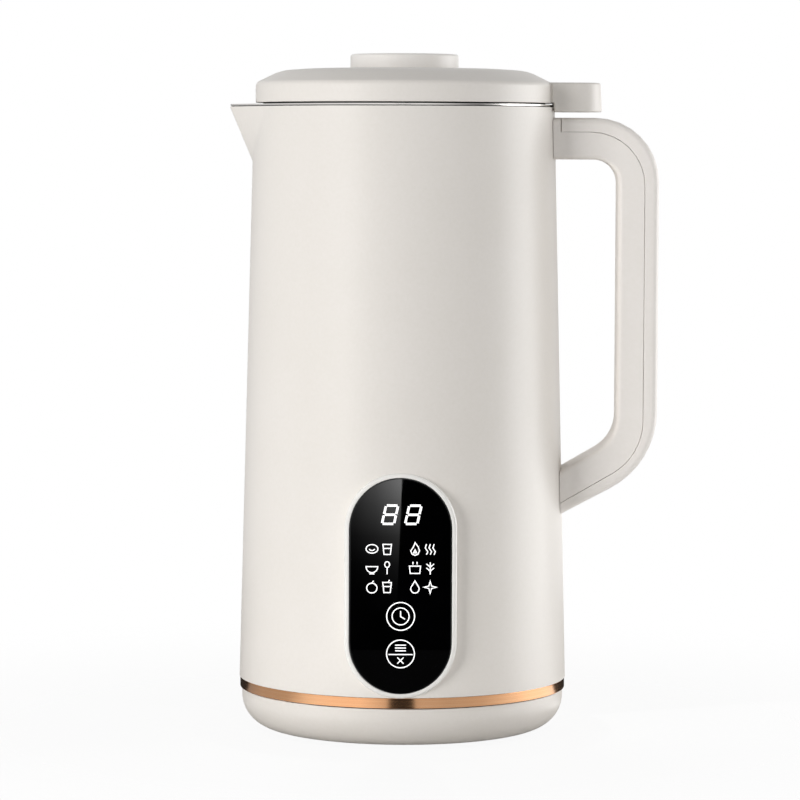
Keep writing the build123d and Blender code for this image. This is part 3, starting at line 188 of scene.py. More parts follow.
finishes = {
    cream: "outer_shell base_shell",
    rose_gold: "decorative_band",
    steel: "inner_cup blade_seat overflow_probe temperature_probe",
    stamped: "lower_blade upper_blade blade_nut blade_spacers",
    zinc: "motor_shaft base_screws carrier_screws handle_screws motor_bolts motor_nuts motor_bearings "
          "seat_nut lid_magnet",
    silicone: "foot_ring cap_seal seat_gasket shaft_seal motor_dampers",
    # The lid's seal is a real part, coloured black as painted shade for the shadowed gap under the lid
    black_silicone_painted_shade: "lid_seal",
    pale_plastic: "lid_liner magnet_cover light_guide",
    black_plastic: "power_inlet motor_carrier cooling_fan display_module brush_holders",
    laminated: "stator_core armature_core",
    copper: "field_coils armature_winding commutator inlet_pins",
    cast: "heating_plate heater_tube upper_bracket lower_bracket thermal_cutout",
    board: "control_board power_board touch_pads reed_sensor",
    carbon: "carbon_brushes",
}
for material, nodes in finishes.items():
    for node in nodes.split():
        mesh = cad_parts[node].data
        mesh.materials.clear()
        mesh.materials.append(material)


# Shapes

def piece(name, points, faces, material, body, sharp=38):
    """A mesh piece from points in millimetres, smooth but for its sharp edges, that moves with a body."""
    mesh = bpy.data.meshes.new(name)
    mesh.from_pydata([Vector(point) * MM for point in points], [], faces)
    mesh.materials.append(material)
    shape = bmesh.new()
    shape.from_mesh(mesh)
    bmesh.ops.remove_doubles(shape, verts=shape.verts, dist=0.0005 * MM)
    bmesh.ops.dissolve_degenerate(shape, edges=shape.edges, dist=0.0005 * MM)
    bmesh.ops.recalc_face_normals(shape, faces=shape.faces)
    shape.to_mesh(mesh)
    shape.free()
    mesh.shade_smooth()
    mesh.set_sharp_from_angle(angle=math.radians(sharp))
    made = bpy.data.objects.new(name, mesh)
    bpy.context.scene.collection.objects.link(made)
    weighted = made.modifiers.new("even_flats", "WEIGHTED_NORMAL")
    weighted.keep_sharp = True
    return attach(made, body)


def skin(rings, ends=True):
    """Points and faces through equal closed rings, whose first and last are filled, or else joined."""
    count = len(rings[0])
    points = [point for ring in rings for point in ring]
    rows = [range(i * count, (i + 1) * count) for i in range(len(rings))]
    pairs = list(zip(rows, rows[1:] if ends else rows[1:] + rows[:1]))
    faces = [(a[k], a[(k + 1) % count], b[(k + 1) % count], b[k]) for a, b in pairs for k in range(count)]
    if ends:
        faces += [list(reversed(rows[0])), list(rows[-1])]
    return points, faces


def rounded(corners, radii, steps=8, closed=True):
    """A line through corners of a plane, each rounded by its own radius in equal steps."""
    line = []
    for i, (corner, radius) in enumerate(zip(corners, radii)):
        corner = Vector(corner)
        if not radius or not closed and i in (0, len(corners) - 1):
            line.append(corner)
            continue
        before = (Vector(corners[i - 1]) - corner).normalized()
        after = (Vector(corners[(i + 1) % len(corners)]) - corner).normalized()
        half = before.angle(after) / 2
        centre = corner + (before + after).normalized() * radius / math.sin(half)
        start = corner + before * radius / math.tan(half) - centre
        turn = math.copysign(math.pi - 2 * half, before.x * after.y - before.y * after.x)
        for step in range(steps + 1):
            angle = -turn * step / steps
            line.append(centre + Vector((
                start.x * math.cos(angle) - start.y * math.sin(angle),
                start.x * math.sin(angle) + start.y * math.cos(angle),
            )))
    return line


def drawn_in(corners, insets):
    """An anticlockwise outline's corners once each side, from corner to next, moves in by its inset."""
    moved = []
    for i, corner in enumerate(corners):
        along = (corner - corners[i - 1], corners[(i + 1) % len(corners)] - corner)
        normals = [Vector((-way.y, way.x)) for way in (side.normalized() for side in along)]
        lean = normals[0].dot(normals[1])
        first, second = insets[i - 1], insets[i]
        share = 1 - lean ** 2
        moved.append(corner + normals[0] * (first - lean * second) / share
                     + normals[1] * (second - lean * first) / share)
    return moved


def lathe(name, profile, material, body, segments=160, sharp=38):
    """A piece turned about the axis from a closed outline of radius and height."""
    points, rows = [], []
    for radius, height in profile:
        start = len(points)
        if radius < 1e-6:
            points.append((0, 0, height))
            rows.append([start] * segments)
            continue
        for k in range(segments):
            angle = 2 * math.pi * k / segments
            points.append((radius * math.cos(angle), radius * math.sin(angle), height))
        rows.append(list(range(start, start + segments)))
    faces = []
    for low, high in zip(rows, rows[1:] + rows[:1]):
        for k in range(segments):
            following = (k + 1) % segments
            face = list(dict.fromkeys([low[k], low[following], high[following], high[k]]))
            if len(face) > 2:
                faces.append(face)
    return piece(name, points, faces, material, body, sharp)


# Handle: an inner half, the grip, and an outer half that closes it, parted along a fine line
arm_top, arm_bottom = cover_high.z, cover_high.z - 16.6
handle_reach = cover_high.x
inner_reach = handle_reach - 16.4
outer_elbow, inner_elbow = 108.8, 118.9
outer_slope, inner_slope, seam_slope = math.radians(27.9), math.radians(30), math.radians(30)
shoulder_radius, elbow_radius = 25.4, 35.0
inner_shoulder_radius, inner_elbow_radius = 9.3, 16.0
seam_shoulder_radius, seam_elbow_radius = 21.4, 24.3
handle_half = cover_high.y
outer_edge_round, inner_edge_round, seam_round = 2.5, 2.0, 0.22
part_line_depth = 5.7
part_line_gap = 0.07
cover_start = body_radius(arm_top) + 2.3
wall_gap = 0.12
rounding_steps = 5


def handle_line(top, reach, elbow, slope, depth):
    """A handle line's corners from the top arm to the lower root, moved in from the outside by a depth."""
    side = reach - depth
    corner = elbow + depth * (1 - math.sin(slope)) / math.cos(slope)
    root = body_radius(elbow)
    return [Vector((root, top - depth)), Vector((side, top - depth)), Vector((side, corner)),
            Vector((root, corner - (side - root) * math.tan(slope)))]


def slide_to_wall(corner, towards, across):
    """Moves a root corner along its side to the body's round wall."""
    way = (towards - corner).normalized()
    for _ in range(4):
        wall = math.sqrt((body_radius(corner.y) + wall_gap) ** 2 - across ** 2)
        corner = corner + way * (wall - corner.x) / way.x
    return corner


def handle_piece(name, corners, radii, rounds, roots):
    """One half of the handle from its side outline.

    rounds gives the rounding of each side's two edges, and roots the sides that stand on the body.
    """
    count = len(corners)
    at_corner = [max(rounds[i - 1], rounds[i]) for i in range(count)]
    levels = []
    for share in range(rounding_steps + 1):
        turn = math.radians(90 * share / rounding_steps)
        levels.append(([r * (1 - math.sin(turn)) for r in rounds],
                       [handle_half - r * (1 - math.cos(turn)) for r in at_corner]))
    for across in (6.0, 2.0):
        levels.append(([0] * count, [across] * count))
    levels += [(insets, [-y for y in widths]) for insets, widths in reversed(levels)]
    rings = []
    for insets, widths in levels:
        line = drawn_in(corners, insets)
        for root in roots:
            following = (root + 1) % count
            line[root] = slide_to_wall(line[root], line[root - 1], widths[root])
            line[following] = slide_to_wall(line[following], line[(following + 1) % count], widths[following])
        bends = []
        for i, radius in enumerate(radii):
            inset = (insets[i - 1] + insets[i]) / 2
            before = line[i] - line[i - 1]
            after = line[(i + 1) % count] - line[i]
            convex = before.x * after.y - before.y * after.x > 0
            bends.append(radius and max(radius - inset if convex else radius + inset, 0.1))
        ring = []
        for i, width in enumerate(widths):
            sides = [line[i - 1], line[i], line[(i + 1) % count]]
            bend = rounded(sides, [0, bends[i], 0], closed=False) if radii[i] else [None, line[i], None]
            ring += [(point.x, width, point.y) for point in bend[1:-1]]
        rings.append(ring)
    # The handle's lacquer is the lighter copy: painted light for the shade on it
    return piece(name, *skin(rings), handle_cream_painted_light, "base_unit")


inner_line = handle_line(arm_bottom, inner_reach, inner_elbow, inner_slope, 0)
grip_seam = handle_line(arm_top, handle_reach, outer_elbow, seam_slope, part_line_depth + part_line_gap)
cover_seam = handle_line(arm_top, handle_reach, outer_elbow, seam_slope, part_line_depth - part_line_gap)
outer_line = handle_line(arm_top, handle_reach, outer_elbow, outer_slope, 0)
grip_end = cover_start - 2 * part_line_gap
grip = handle_piece(
    "handle_inner_half",
    [*inner_line, grip_seam[3], grip_seam[2], grip_seam[1],
     Vector((grip_end, grip_seam[1].y)), Vector((grip_end, arm_top)),
     Vector((body_radius(arm_top), arm_top))],
    [0, inner_shoulder_radius, inner_elbow_radius, 0,
     0, seam_elbow_radius - part_line_gap, seam_shoulder_radius - part_line_gap,
     0, 0, 0],
    [inner_edge_round] * 3 + [0] + [seam_round] * 4 + [outer_edge_round, 0],
    (3, 9),
)
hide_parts("handle_grip")
cover = handle_piece(
    "handle_outer_half",
    [Vector((cover_start, cover_seam[1].y)), cover_seam[1], cover_seam[2], cover_seam[3],
     outer_line[3], outer_line[2], outer_line[1], Vector((cover_start, arm_top))],
    [0, seam_shoulder_radius + part_line_gap, seam_elbow_radius + part_line_gap, 0,
     0, elbow_radius, shoulder_radius, 0],
    [seam_round] * 3 + [0] + [outer_edge_round] * 3 + [seam_round],
    (3,),
)
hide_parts("handle_cover")

# Lid: a skirt, a soft shoulder, a slope and a nearly flat top, with the block over the handle
lid_radius, lid_bottom, lid_top = lid_high.y, 253.0, lid_high.z
skirt_inside, skirt_ceiling, skirt_top = 57.5, 258.8, 260.9
slope_radius, slope_top = 49.7, 265.8
crown_radius, crown_wall = 39.5, 2.2
feed_bore = 17.4
lid_outline = [
    (skirt_inside, lid_bottom), (lid_radius, lid_bottom), (lid_radius, skirt_top), (slope_radius, slope_top),
    (crown_radius, lid_top), (feed_bore, lid_top), (feed_bore, lid_top - crown_wall),
    (crown_radius, lid_top - crown_wall), (skirt_inside, skirt_ceiling),
]
lid_rounds = [0.3, 0.4, 2.5, 18, 40, 0.6, 0.2, 0, 0]
lid = lathe("lid_top_moulding", rounded(lid_outline, lid_rounds), cream, "lid", segments=192, sharp=50)
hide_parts("lid_cover")

block_reach, block_half, block_corner = lid_high.x, 13.0, 11.2
block_bottom, block_top = lid_low.z + 0.06, lid_high.z - 5.2
block_draft = math.tan(math.radians(3))
block_bottom_round, block_top_round = 0.5, 0.9
groove = 0.45          # beside the block, where it meets the lid
# Above this height its root runs into the lid's skirt, and below it the root stands clear of the body
root_step = lid_bottom + 0.3
skirt_root, clear_root, root_lean = 58.5, 60.85, 0.12


def block_ring(height, root_radius, inset, corner):
    """The block's outline at a height: its root follows the lid, its far corners are rounded."""
    half = block_half - inset
    reach = block_reach - inset
    neck = half - groove
    root = [Vector((math.sqrt(root_radius ** 2 - y ** 2), y))
            for y in (neck * (1 - step / 6) for step in range(13))]
    notch = max(math.sqrt(lid_radius ** 2 - half ** 2) + groove, root[0].x + 0.05)
    line = rounded([root[-1], Vector((notch, -neck)), Vector((notch + groove, -half)), Vector((reach, -half)),
                    Vector((reach, half)), Vector((notch + groove, half)), Vector((notch, neck)), root[0]],
                   [0, 0, 0, corner, corner, 0, 0, 0], steps=10)
    return [(point.x, point.y, height) for point in root[:-1] + line[:-1]]


block_levels = []
for share in range(5):
    turn = math.radians(90 * share / 4)
    block_levels.append((block_bottom + block_bottom_round * (1 - math.cos(turn)),
                         block_bottom_round * (1 - math.sin(turn))))
block_levels += [(root_step, 0), (root_step + 0.01, 0)]
for share in range(6):
    turn = math.radians(90 * share / 5)
    block_levels.append((block_top - block_top_round * (1 - math.sin(turn)),
                         block_top_round * (1 - math.cos(turn))))
block_rings = []
for height, inset in block_levels:
    root_radius = skirt_root if height > root_step else clear_root + root_lean * (root_step - height)
    drawn = inset + (height - block_bottom) * block_draft
    block_rings.append(block_ring(height, root_radius, drawn, block_corner - drawn))
block = piece("lid_reach_block", *skin(block_rings), cream, "lid")

# Feed cap: a round knob with soft edges over its hollow plug
cap_radius = cap_high.y
cap_bottom, cap_top = lid_top + 0.2, cap_high.z
plug_inside, plug_outside = 15.1, 16.7
cap_outline = [
    (0, cap_bottom), (plug_inside, cap_bottom), (plug_inside, cap_low.z), (plug_outside, cap_low.z),
    (plug_outside, cap_bottom), (cap_radius, cap_bottom), (cap_radius, cap_top), (0, cap_top),
]
cap_rounds = [0, 0.3, 0.3, 0.3, 0.3, 0.4, 1.1, 0]
# The knob's lacquer is the lighter copy: painted light for the shade on its sides
feed_cap = lathe("feed_cap_knob", rounded(cap_outline, cap_rounds, closed=False), knob_cream_painted_light, "cap",
                 segments=144)
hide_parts("feed_cap")

# Black gasket in the groove between the body's top edge and the steel rim, along the outline of both: painted
# shade that stands in for the shadow in that groove
shell_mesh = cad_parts["outer_shell"].data
shell_edge = [vertex.co.to_2d() / MM for vertex in shell_mesh.vertices
              if abs(vertex.co.z / MM - body_high.z) < 0.01]
shell_edge = [shell_edge[i] for i in geometry.convex_hull_2d(shell_edge)]
gasket_bottom, gasket_top = body_high.z - 0.05, body_high.z + 0.34
gasket_outside, gasket_inside = 0.6, 1.0
gasket_rings = []
for inset, height in ((gasket_outside, gasket_bottom), (gasket_outside, gasket_top),
                      (gasket_inside, gasket_top), (gasket_inside, gasket_bottom)):
    gasket_rings.append([(point.x * (1 - inset / point.length), point.y * (1 - inset / point.length), height)
                         for point in shell_edge])
gasket = piece("rim_gasket_painted_shade", *skin(gasket_rings, ends=False), black_silicone_painted_shade, "base_unit")

# Rose gold band: a strip with softened edges, over a fine shadow line
band_radius, band_inside = band_high.y, band_high.y - 2.0
band_bottom = band_low.z + 0.3
band = lathe("band_strip", rounded(
    [(band_inside, band_bottom), (band_radius, band_bottom), (band_radius, band_high.z),
     (band_inside, band_high.z)],
    [0.1, 0.16, 0.16, 0.1], steps=4), rose_gold, "base_unit", segments=256)
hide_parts("decorative_band")

# The base's round corner, a smooth skin over the stepped moulding
corner_radius, corner_steps = 13.0, 18
skin_depth, skin_edge = 0.8, 0.1
base_radius = base_high.y
corner_line = []
for step in range(corner_steps + 1):
    turn = math.radians(90 * step / corner_steps)
    corner_line.append((base_radius - corner_radius * (1 - math.sin(turn)),
                        base_low.z + corner_radius * (1 - math.cos(turn))))
corner_back = [(radius - skin_depth * math.sin(math.radians(90 * step / corner_steps)) - skin_edge,
                height + skin_depth * math.cos(math.radians(90 * step / corner_steps)))
               for step, (radius, height) in enumerate(corner_line)]
base_skin = lathe("base_corner_skin", corner_line + corner_back[::-1], cream, "base_unit", segments=192)

# Panel: a plane that leans with the body
panel_height, glass_proud = 65.6, 0.8
panel_front = body_radius(panel_height) + glass_proud
panel_right = Vector((1, 0, 0))
panel_up = Vector((0, math.sin(taper), math.cos(taper)))
panel_out = Vector((0, -math.cos(taper), math.sin(taper)))
panel_middle = Vector((0, -panel_front, panel_height))


def on_panel(right, up, out):
    """A point of the panel from its middle: to the right, up the body and out of the glass."""
    return panel_middle + panel_right * right + panel_up * up + panel_out * out


def capsule(half_width, half_height, steps=32):
    """A capsule outline, anticlockwise from its right side."""
    straight = half_height - half_width
    line = []
    for middle, start in ((straight, 0), (-straight, 180)):
        for step in range(steps + 1):
            angle = math.radians(start + 180 * step / steps)
            line.append((half_width * math.cos(angle), middle + half_width * math.sin(angle)))
    return line


def wall_depth(right):
    """How far the body's wall lies behind the glass's face, to one side of the panel's middle."""
    radius = body_radius(panel_height)
    return glass_proud + radius - math.sqrt(radius ** 2 - right ** 2)


glass_half, glass_tall = 19.95, 42.0
trim_width, trim_round = 1.9, 1.2
trim_gap, trim_depth, trim_sink = 0.06, 1.9, 0.4
# Each row: how far outside the glass's edge, how far out of its face, and whether it lies on the body's wall
trim_section = [(trim_gap, -trim_depth, False), (trim_gap, -0.12, False), (0.18, 0, False),
                (trim_width - trim_round, 0, False)]
for step in range(1, 7):
    turn = math.radians(90 * step / 6)
    trim_section.append((trim_width - trim_round * (1 - math.sin(turn)),
                         -trim_round * (1 - math.cos(turn)), False))
trim_section += [(trim_width, -trim_sink, True), (trim_width - 0.5, -trim_sink, True)]
rings = []
for outside, out, on_wall in trim_section:
    ring = []
    for right, up in capsule(glass_half + outside, glass_tall + outside):
        depth = min(out - wall_depth(right), -2.0) if on_wall else out
        if outside == trim_width and not on_wall:
            depth = max(depth, -wall_depth(right) - trim_sink)
        ring.append(on_panel(right, up, depth))
    rings.append(ring)
trim = piece("panel_trim_ring", *skin(rings, ends=False), ivory, "base_unit", sharp=50)
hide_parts("panel_bezel")

# The glass: each row's inset and place out of its face, with its ground edge
glass_rings = []
for inset, out in [(0.1, -2.0), (0, -1.9), (0, -0.45), (0.06, -0.24), (0.2, -0.07), (0.45, 0)]:
    glass_rings.append([on_panel(right, up, out)
                        for right, up in capsule(glass_half - inset, glass_tall - inset)])
lens = piece("panel_glass", *skin(glass_rings), glass, "base_unit")
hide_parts("panel_lens")

# Marks that shine through the glass
mark_proud, mark_sunk = 0.04, 0.05
line_width = 0.42


def stroke(line, width, closed=False):
    """A thin raised line of the panel: points in millimetres, mitred at its bends."""
    line = [Vector(point) for point in line]
    count = len(line)
    left, right = [], []
    for i, point in enumerate(line):
        before = line[i - 1] if closed or i else point
        after = line[(i + 1) % count] if closed or i < count - 1 else point
        ways = [way.normalized() for way in (point - before, after - point) if way.length > 1e-9]
        way = sum(ways, Vector((0, 0))).normalized()
        spread = width / 2 / max(way.dot(ways[0]), 0.4)
        side = Vector((-way.y, way.x)) * spread
        left.append(point + side)
        right.append(point - side)
    rings = [[on_panel(a.x, a.y, -mark_sunk), on_panel(a.x, a.y, mark_proud),
              on_panel(b.x, b.y, mark_proud), on_panel(b.x, b.y, -mark_sunk)] for a, b in zip(left, right)]
    return skin(rings, ends=not closed)


def mark(name, strokes):
    """One piece from several strokes, each a line, its width and whether it closes."""
    points, faces = [], []
    for line, width, closed in strokes:
        more, shapes = stroke(line, width, closed)
        faces += [[len(points) + i for i in shape] for shape in shapes]
        points += more
    made = piece(name, points, faces, lit, "base_unit")
    return made


def bow(x, y, across, up, start, end, steps=20):
    """An arc of an ellipse, in degrees."""
    turns = [math.radians(start + (end - start) * step / steps) for step in range(steps + 1)]
    return [(x + across * math.cos(turn), y + up * math.sin(turn)) for turn in turns]


digit_height, digit_width, segment_width = 7.1, 4.7, 0.92
digit_lean = math.tan(math.radians(12.6))
segment_end = 0.3      # each segment stops this far before its corner
digit_rights, digit_up = (-4.15, 4.85), 27.8


def digit(middle_right, middle_up):
    """Seven slanted segments of one digit."""
    half, tall = digit_width / 2, digit_height / 2
    spans = [((-half, tall), (half, tall)), ((-half, 0), (half, 0)), ((-half, -tall), (half, -tall)),
             ((-half, 0), (-half, tall)), ((half, 0), (half, tall)),
             ((-half, -tall), (-half, 0)), ((half, -tall), (half, 0))]
    strokes = []
    for start, end in spans:
        start, end = Vector(start), Vector(end)
        way = (end - start).normalized()
        start, end = start + way * segment_end, end - way * segment_end
        lean = [Vector((middle_right + p.x + p.y * digit_lean, middle_up + p.y)) for p in (start, end)]
        strokes.append((lean, segment_width, False))
    return strokes


mark("display_digits", [segment for right in digit_rights for segment in digit(right, digit_up)])

# Symbols, drawn on a grid ten units wide: bean and cup, flame and steam, bowl and spoon,
# pot and grain, fruit and glass, drop and sparkle
cup_lines = [([(-3.4, 3.6), (-2.5, -4.4), (2.5, -4.4), (3.4, 3.6)], True), ([(-3, 0.4), (3, 0.4)], False)]
symbols = [
    [(bow(0, 0, 4.7, 3.4, 0, 342), True), (bow(0, 0.6, 2.3, 1.9, 200, 340), False)],
    cup_lines,
    [([(0, 5), (2.6, 1.6), (3.5, -1.4), (2.4, -4), (0, -5), (-2.4, -4), (-3.5, -1.4), (-1.6, 1.2)], True),
     ([(0, -0.6), (1.3, -3), (-1.3, -3)], True)],
    [([(x, -4.4), (x + 1, -2), (x - 1, 1), (x, 4)], False) for x in (-3, 0, 3)],
    [(bow(0, 1, 4.6, 4.8, 180, 360), True), ([(-2, -4.7), (2, -4.7)], False)],
    [(bow(0, 2.7, 1.9, 2.3, 0, 342), True), ([(0, 0.4), (0, -5)], False)],
    [([(-4.4, 1.6), (-3.8, -4.2), (3.8, -4.2), (4.4, 1.6)], True), ([(-1.6, 3), (-1.6, 5)], False),
     ([(1.6, 3), (1.6, 5)], False)],
    [([(0, -5), (0, 4.6)], False), ([(-3, 3.4), (0, 0.8), (3, 3.4)], False),
     ([(-3, 0.2), (0, -2.4), (3, 0.2)], False)],
    [(bow(0, -0.9, 4.1, 3.9, 0, 342), True), ([(0, 3), (1.4, 5)], False)],
    cup_lines + [([(0.6, 3.6), (2, 5.6)], False)],
    [([(0, 5)] + bow(0, -1.4, 3.3, 3.3, 35, -215), True)],
    [([(0, 5), (1, 1), (5, 0), (1, -1), (0, -5), (-1, -1), (-5, 0), (-1, 1)], True)],
]
symbol_size = 0.49
symbol_rows, symbol_pairs, pair_step = (14.5, 7.1, -0.3), (-11.1, 5.6), 5.9
places = [(pair + side, row) for row in symbol_rows for pair in symbol_pairs for side in (0, pair_step)]
strokes = []
for (right, up), drawing in zip(places, symbols):
    strokes += [([(right + x * symbol_size, up + y * symbol_size) for x, y in line], line_width, closed)
                for line, closed in drawing]
mark("programme_symbols", strokes)

# Touch keys: a clock in the upper ring, and three lines over a cross in the lower one
key_right, key_ups, key_radius = 0.1, (-11.7, -26.3), 5.4
clock = [([(0, 2.1), (0, -0.1), (1.7, -1.1)], False), (bow(0, 0, 3.3, 3.3, 0, 350, 35), True)]
menu = [([(-4.7, -0.25), (4.7, -0.25)], False)]
menu += [([(-2.1, y), (2.1, y)], False) for y in (1.2, 2.3, 3.4)]
menu += [([(-1.2, -1.4), (1.2, -3.8)], False), ([(-1.2, -3.8), (1.2, -1.4)], False)]
ring_line = (bow(0, 0, key_radius, key_radius, 0, 354, 59), True)
strokes = []
for up, drawing in zip((*key_ups, *key_ups), ([ring_line], [ring_line], clock, menu)):
    strokes += [([(key_right + x, up + y) for x, y in line], line_width, closed) for line, closed in drawing]
mark("key_symbols", strokes)


# Studio

def card(name, points, faces, material, seen=False):
    """A card of the studio from its points in millimetres. Unless seen, only gloss reflects it."""
    mesh = bpy.data.meshes.new(name)
    mesh.from_pydata([Vector(point) * MM for point in points], [], faces)
    mesh.materials.append(material)
    made = bpy.data.objects.new(name, mesh)
    bpy.context.scene.collection.objects.link(made)
    for ray in ("camera", "diffuse", "transmission", "shadow"):
        setattr(made, "visible_" + ray, seen)
    return made


def tones_along(tree, value, tones):
    """Grey levels along a value, from a table that gives each amount its level."""
    first, last = tones[0][0], tones[-1][0]
    share = add(tree, "ShaderNodeMapRange", {"Value": value, "From Min": first, "From Max": last})
    ramp = add(tree, "ShaderNodeValToRGB", {"Fac": share.outputs["Result"]})
    stops = ramp.color_ramp.elements
    for at, level in tones[2:]:
        stops.new((at - first) / (last - first))
    for stop, (at, level) in zip(stops, tones):
        stop.position = (at - first) / (last - first)
        stop.color = (level, level, level, 1)
    return ramp.outputs["Color"]


def ring_card(name, inner, outer, tones):
    """A card round the object between two circles, each a radius and a height, with its glow by azimuth."""
    made, tree, shader = new_material(name)
    place = add(tree, "ShaderNodeTexCoord")
    split = add(tree, "ShaderNodeSeparateXYZ", {"Vector": place.outputs["Object"]})
    front = add(tree, "ShaderNodeMath", {0: split.outputs["Y"], 1: -1}, operation="MULTIPLY")
    angle = add(tree, "ShaderNodeMath", {0: split.outputs["X"], 1: front.outputs[0]}, operation="ARCTAN2")
    level = tones_along(tree, angle.outputs[0], [(math.radians(azimuth), level) for azimuth, level in tones])
    glow = add(tree, "ShaderNodeEmission", {"Color": level, "Strength": 1})
    tree.links.new(glow.outputs[0], tree.nodes["Material Output"].inputs["Surface"])
    turns = [math.radians(degrees) for degrees in range(0, 360, 5)]
    points = [(radius * math.sin(turn), -radius * math.cos(turn), height)
              for radius, height in (inner, outer) for turn in turns]
    count = len(turns)
    faces = [(i, (i + 1) % count, count + (i + 1) % count, count + i) for i in range(count)]
    return card(name, points, faces, made)


# Soft boxes: azimuth and elevation, width and height, power, and whether gloss reflects it
lamp_distance, lamp_aim = 1300, Vector((0, 0, 130))
lamps = [
    ("left_softbox", -100, 5, 450, 900, 1.3, False),
    ("key_softbox", -42, 5, 450, 900, 10.2, False),
    ("front_softbox", 10, 5, 600, 900, 1.3, False),
    ("right_softbox", 102, 5, 1000, 900, 10.8, True),
    ("rear_softbox", -165, 5, 450, 900, 7, False),
]
for name, azimuth, elevation, width, height, power, in_gloss in lamps:
    lamp = bpy.data.lights.new(name, "AREA")
    lamp.shape = "RECTANGLE"
    lamp.size, lamp.size_y = width * MM, height * MM
    lamp.energy = power
    made = bpy.data.objects.new(name, lamp)
    bpy.context.scene.collection.objects.link(made)
    a, e = math.radians(azimuth), math.radians(elevation)
    towards = Vector((math.sin(a) * math.cos(e), -math.cos(a) * math.cos(e), math.sin(e)))
    made.location = (lamp_aim + towards * lamp_distance) * MM
    made.rotation_euler = towards.to_track_quat("Z", "Y").to_euler()
    made.visible_glossy = in_gloss

# Grey cards that only gloss reflects, from 0 degrees at the camera: dark behind the object, so that its
# edges stand out, and dark on the right, where the body has its darker stripe
surround_tones = [(-180, 0.2), (-170, 0.1), (-150, 0.5), (-120, 0.84), (-90, 0.9), (-60, 1), (-30, 1.1),
                  (0, 1.2), (30, 0.82), (60, 0.06), (90, 1.14), (120, 1.0), (150, 1.2), (170, 1.0),
                  (180, 0.2)]
ring_card("studio_surround", (2600, -900), (2600, 700), surround_tones)
# What the band reflects from the floor: bright to both sides, with dark bars in the middle and behind
floor_radius, contact_radius, foot_inside, card_height = 520, 85, 30, 0.4
floor_tones = [(-180, 0.03), (-119, 0.03), (-117, 0.38), (-100, 0.56), (-72, 0.62), (-64, 0.92), (-57, 1.2),
               (-43, 1.4), (-24, 1.42), (-12.4, 1.0), (-8, 0.9), (-6.4, 0.03), (7, 0.03), (8.2, 0.76),
               (30, 0.65), (50, 0.78), (65, 1.02), (73, 1.2), (82, 1.5), (103, 1.65), (114, 1.5),
               (116, 0.03), (180, 0.03)]
ring_card("studio_floor_card", (contact_radius, card_height), (floor_radius, card_height), floor_tones)
# The gloss's own contact shadow, close round the foot
ring_card("studio_contact_card", (foot_inside, card_height), (contact_radius, card_height),
          [(-180, 0.1), (180, 0.1)])


def glass_card(name, corners, depth, across_tones, up_tones):
    """A card before the panel that only gloss reflects, with a glow that fades across and upward."""
    made, tree, shader = new_material(name)
    place = add(tree, "ShaderNodeTexCoord")
    split = add(tree, "ShaderNodeSeparateXYZ", {"Vector": place.outputs["Object"]})
    across = tones_along(tree, split.outputs["X"], [(x * MM, level) for x, level in across_tones])
    upward = tones_along(tree, split.outputs["Z"], [(z * MM, level) for z, level in up_tones])
    both = add(tree, "ShaderNodeMix", {"Factor": 1, "A": across, "B": upward},
               data_type="RGBA", blend_type="MULTIPLY")
    glow = add(tree, "ShaderNodeEmission", {"Color": both.outputs["Result"], "Strength": glare_strength})
    tree.links.new(glow.outputs[0], tree.nodes["Material Output"].inputs["Surface"])
    return card(name, [(x, depth, z) for x, z in corners], [range(len(corners))], made)


# Before the panel a black card, and on it the glare of a window that fades to the left and downward
glare_strength = 3.9
side, low, high = 130, -220, 260
glass_card("studio_black_card", [(-side, low), (side, low), (side, high), (-side, high)], -1500,
           [(-side, 0), (side, 0)], [(low, 0), (high, 0)])
glass_card("studio_glare_card", [(-side, low), (-27, low), (-16.5, 70), (-16.5, high), (-side, high)], -1499,
           [(-side, 0), (-90, 0.02), (-72, 0.06), (-54, 0.18), (-38, 0.42), (-26, 0.74), (-14, 1.1)],
           [(low, 0), (-60, 0), (-40, 0.01), (-20, 0.04), (2, 0.15), (26, 0.52), (44, 0.9), (60, 1.1)])


def seen_directly(tree):
    """One where the camera, a reflection or a view through something meets it, and zero for its light."""
    path = add(tree, "ShaderNodeLightPath")
    seen = path.outputs["Is Camera Ray"]
    for ray in ("Is Glossy Ray", "Is Transmission Ray"):
        seen = add(tree, "ShaderNodeMath", {0: seen, 1: path.outputs[ray]}, operation="MAXIMUM").outputs[0]
    return seen


# White wherever it is seen
world = bpy.data.worlds.new("studio")
bpy.context.scene.world = world
world.use_nodes = True
tree = world.node_tree
background = tree.nodes["Background"]
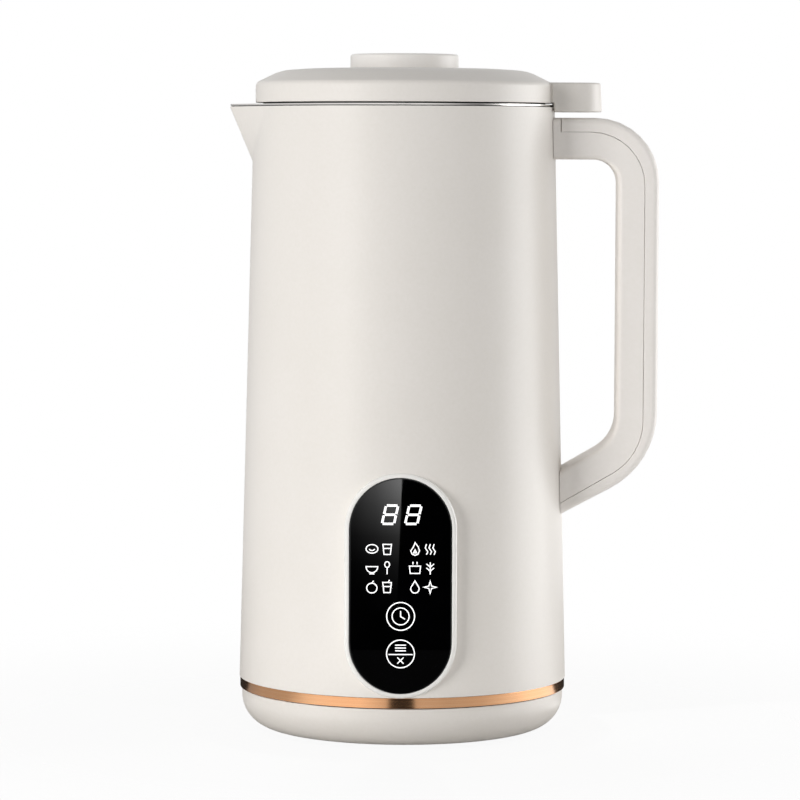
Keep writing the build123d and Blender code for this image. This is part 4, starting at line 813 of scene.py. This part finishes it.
# The room's own light, less of it from above
ambient = 0.33
sky = add(tree, "ShaderNodeTexCoord")
split = add(tree, "ShaderNodeSeparateXYZ", {"Vector": sky.outputs["Generated"]})
level = tones_along(tree, split.outputs["Z"],
                    [(-1, ambient), (0.1, ambient), (0.6, ambient * 0.78), (1, ambient * 0.7)])
fill = add(tree, "ShaderNodeMix", {
    "Factor": seen_directly(tree), "A": level, "B": (1, 1, 1, 1),
}, data_type="RGBA")
tree.links.new(fill.outputs["Result"], background.inputs["Color"])

# Pale floor that fades into the white background and keeps the object's shadow
floor_material, tree, shader = new_material("pale_floor", Roughness=0.6)
shader.inputs["Base Color"].default_value = linear("#EAE9E7")
output = tree.nodes["Material Output"]
place = add(tree, "ShaderNodeTexCoord")
reach = add(tree, "ShaderNodeVectorMath", {0: place.outputs["Object"]}, operation="LENGTH")
fade = add(tree, "ShaderNodeMapRange", {
    "Value": reach.outputs["Value"], "From Min": 0.1, "From Max": 0.36,
}, interpolation_type="SMOOTHSTEP")
lift = add(tree, "ShaderNodeMath", {0: seen_directly(tree), 1: 0.93}, operation="MULTIPLY")
white = add(tree, "ShaderNodeEmission", {"Color": (1, 1, 1, 1), "Strength": 1})
lifted = add(tree, "ShaderNodeMixShader", {0: lift.outputs[0], 1: shader.outputs[0], 2: white.outputs[0]})
clear = add(tree, "ShaderNodeBsdfTransparent")
faded = add(tree, "ShaderNodeMixShader", {
    0: fade.outputs["Result"], 1: lifted.outputs[0], 2: clear.outputs[0],
})
tree.links.new(faded.outputs[0], output.inputs["Surface"])
floor_rim = [(floor_radius * math.cos(math.radians(a)), floor_radius * math.sin(math.radians(a)), 0)
             for a in range(0, 360, 5)]
card("floor", floor_rim, [list(range(len(floor_rim)))], floor_material, seen=True)

# Camera, fitted to the photograph's perspective: it looks down a little from the rim's height
camera_place = Vector((-1.31, -1474.3, 235.65))
look_down, swing, roll = math.radians(3.967), math.radians(0.75), math.radians(0.211)
camera_data = bpy.data.cameras.new("camera")
camera_data.sensor_width = 36
camera_data.lens = 164.55
camera_data.clip_start, camera_data.clip_end = 0.05, 20
camera = bpy.data.objects.new("camera", camera_data)
bpy.context.scene.collection.objects.link(camera)
camera.matrix_world = (Matrix.Rotation(swing, 4, "Z")
                       @ Matrix.Translation(camera_place * MM)
                       @ Matrix.Rotation(math.radians(90) - look_down, 4, "X")
                       @ Matrix.Rotation(roll, 4, "Z"))
bpy.context.scene.camera = camera
bpy.context.scene.view_settings.view_transform = "Standard"
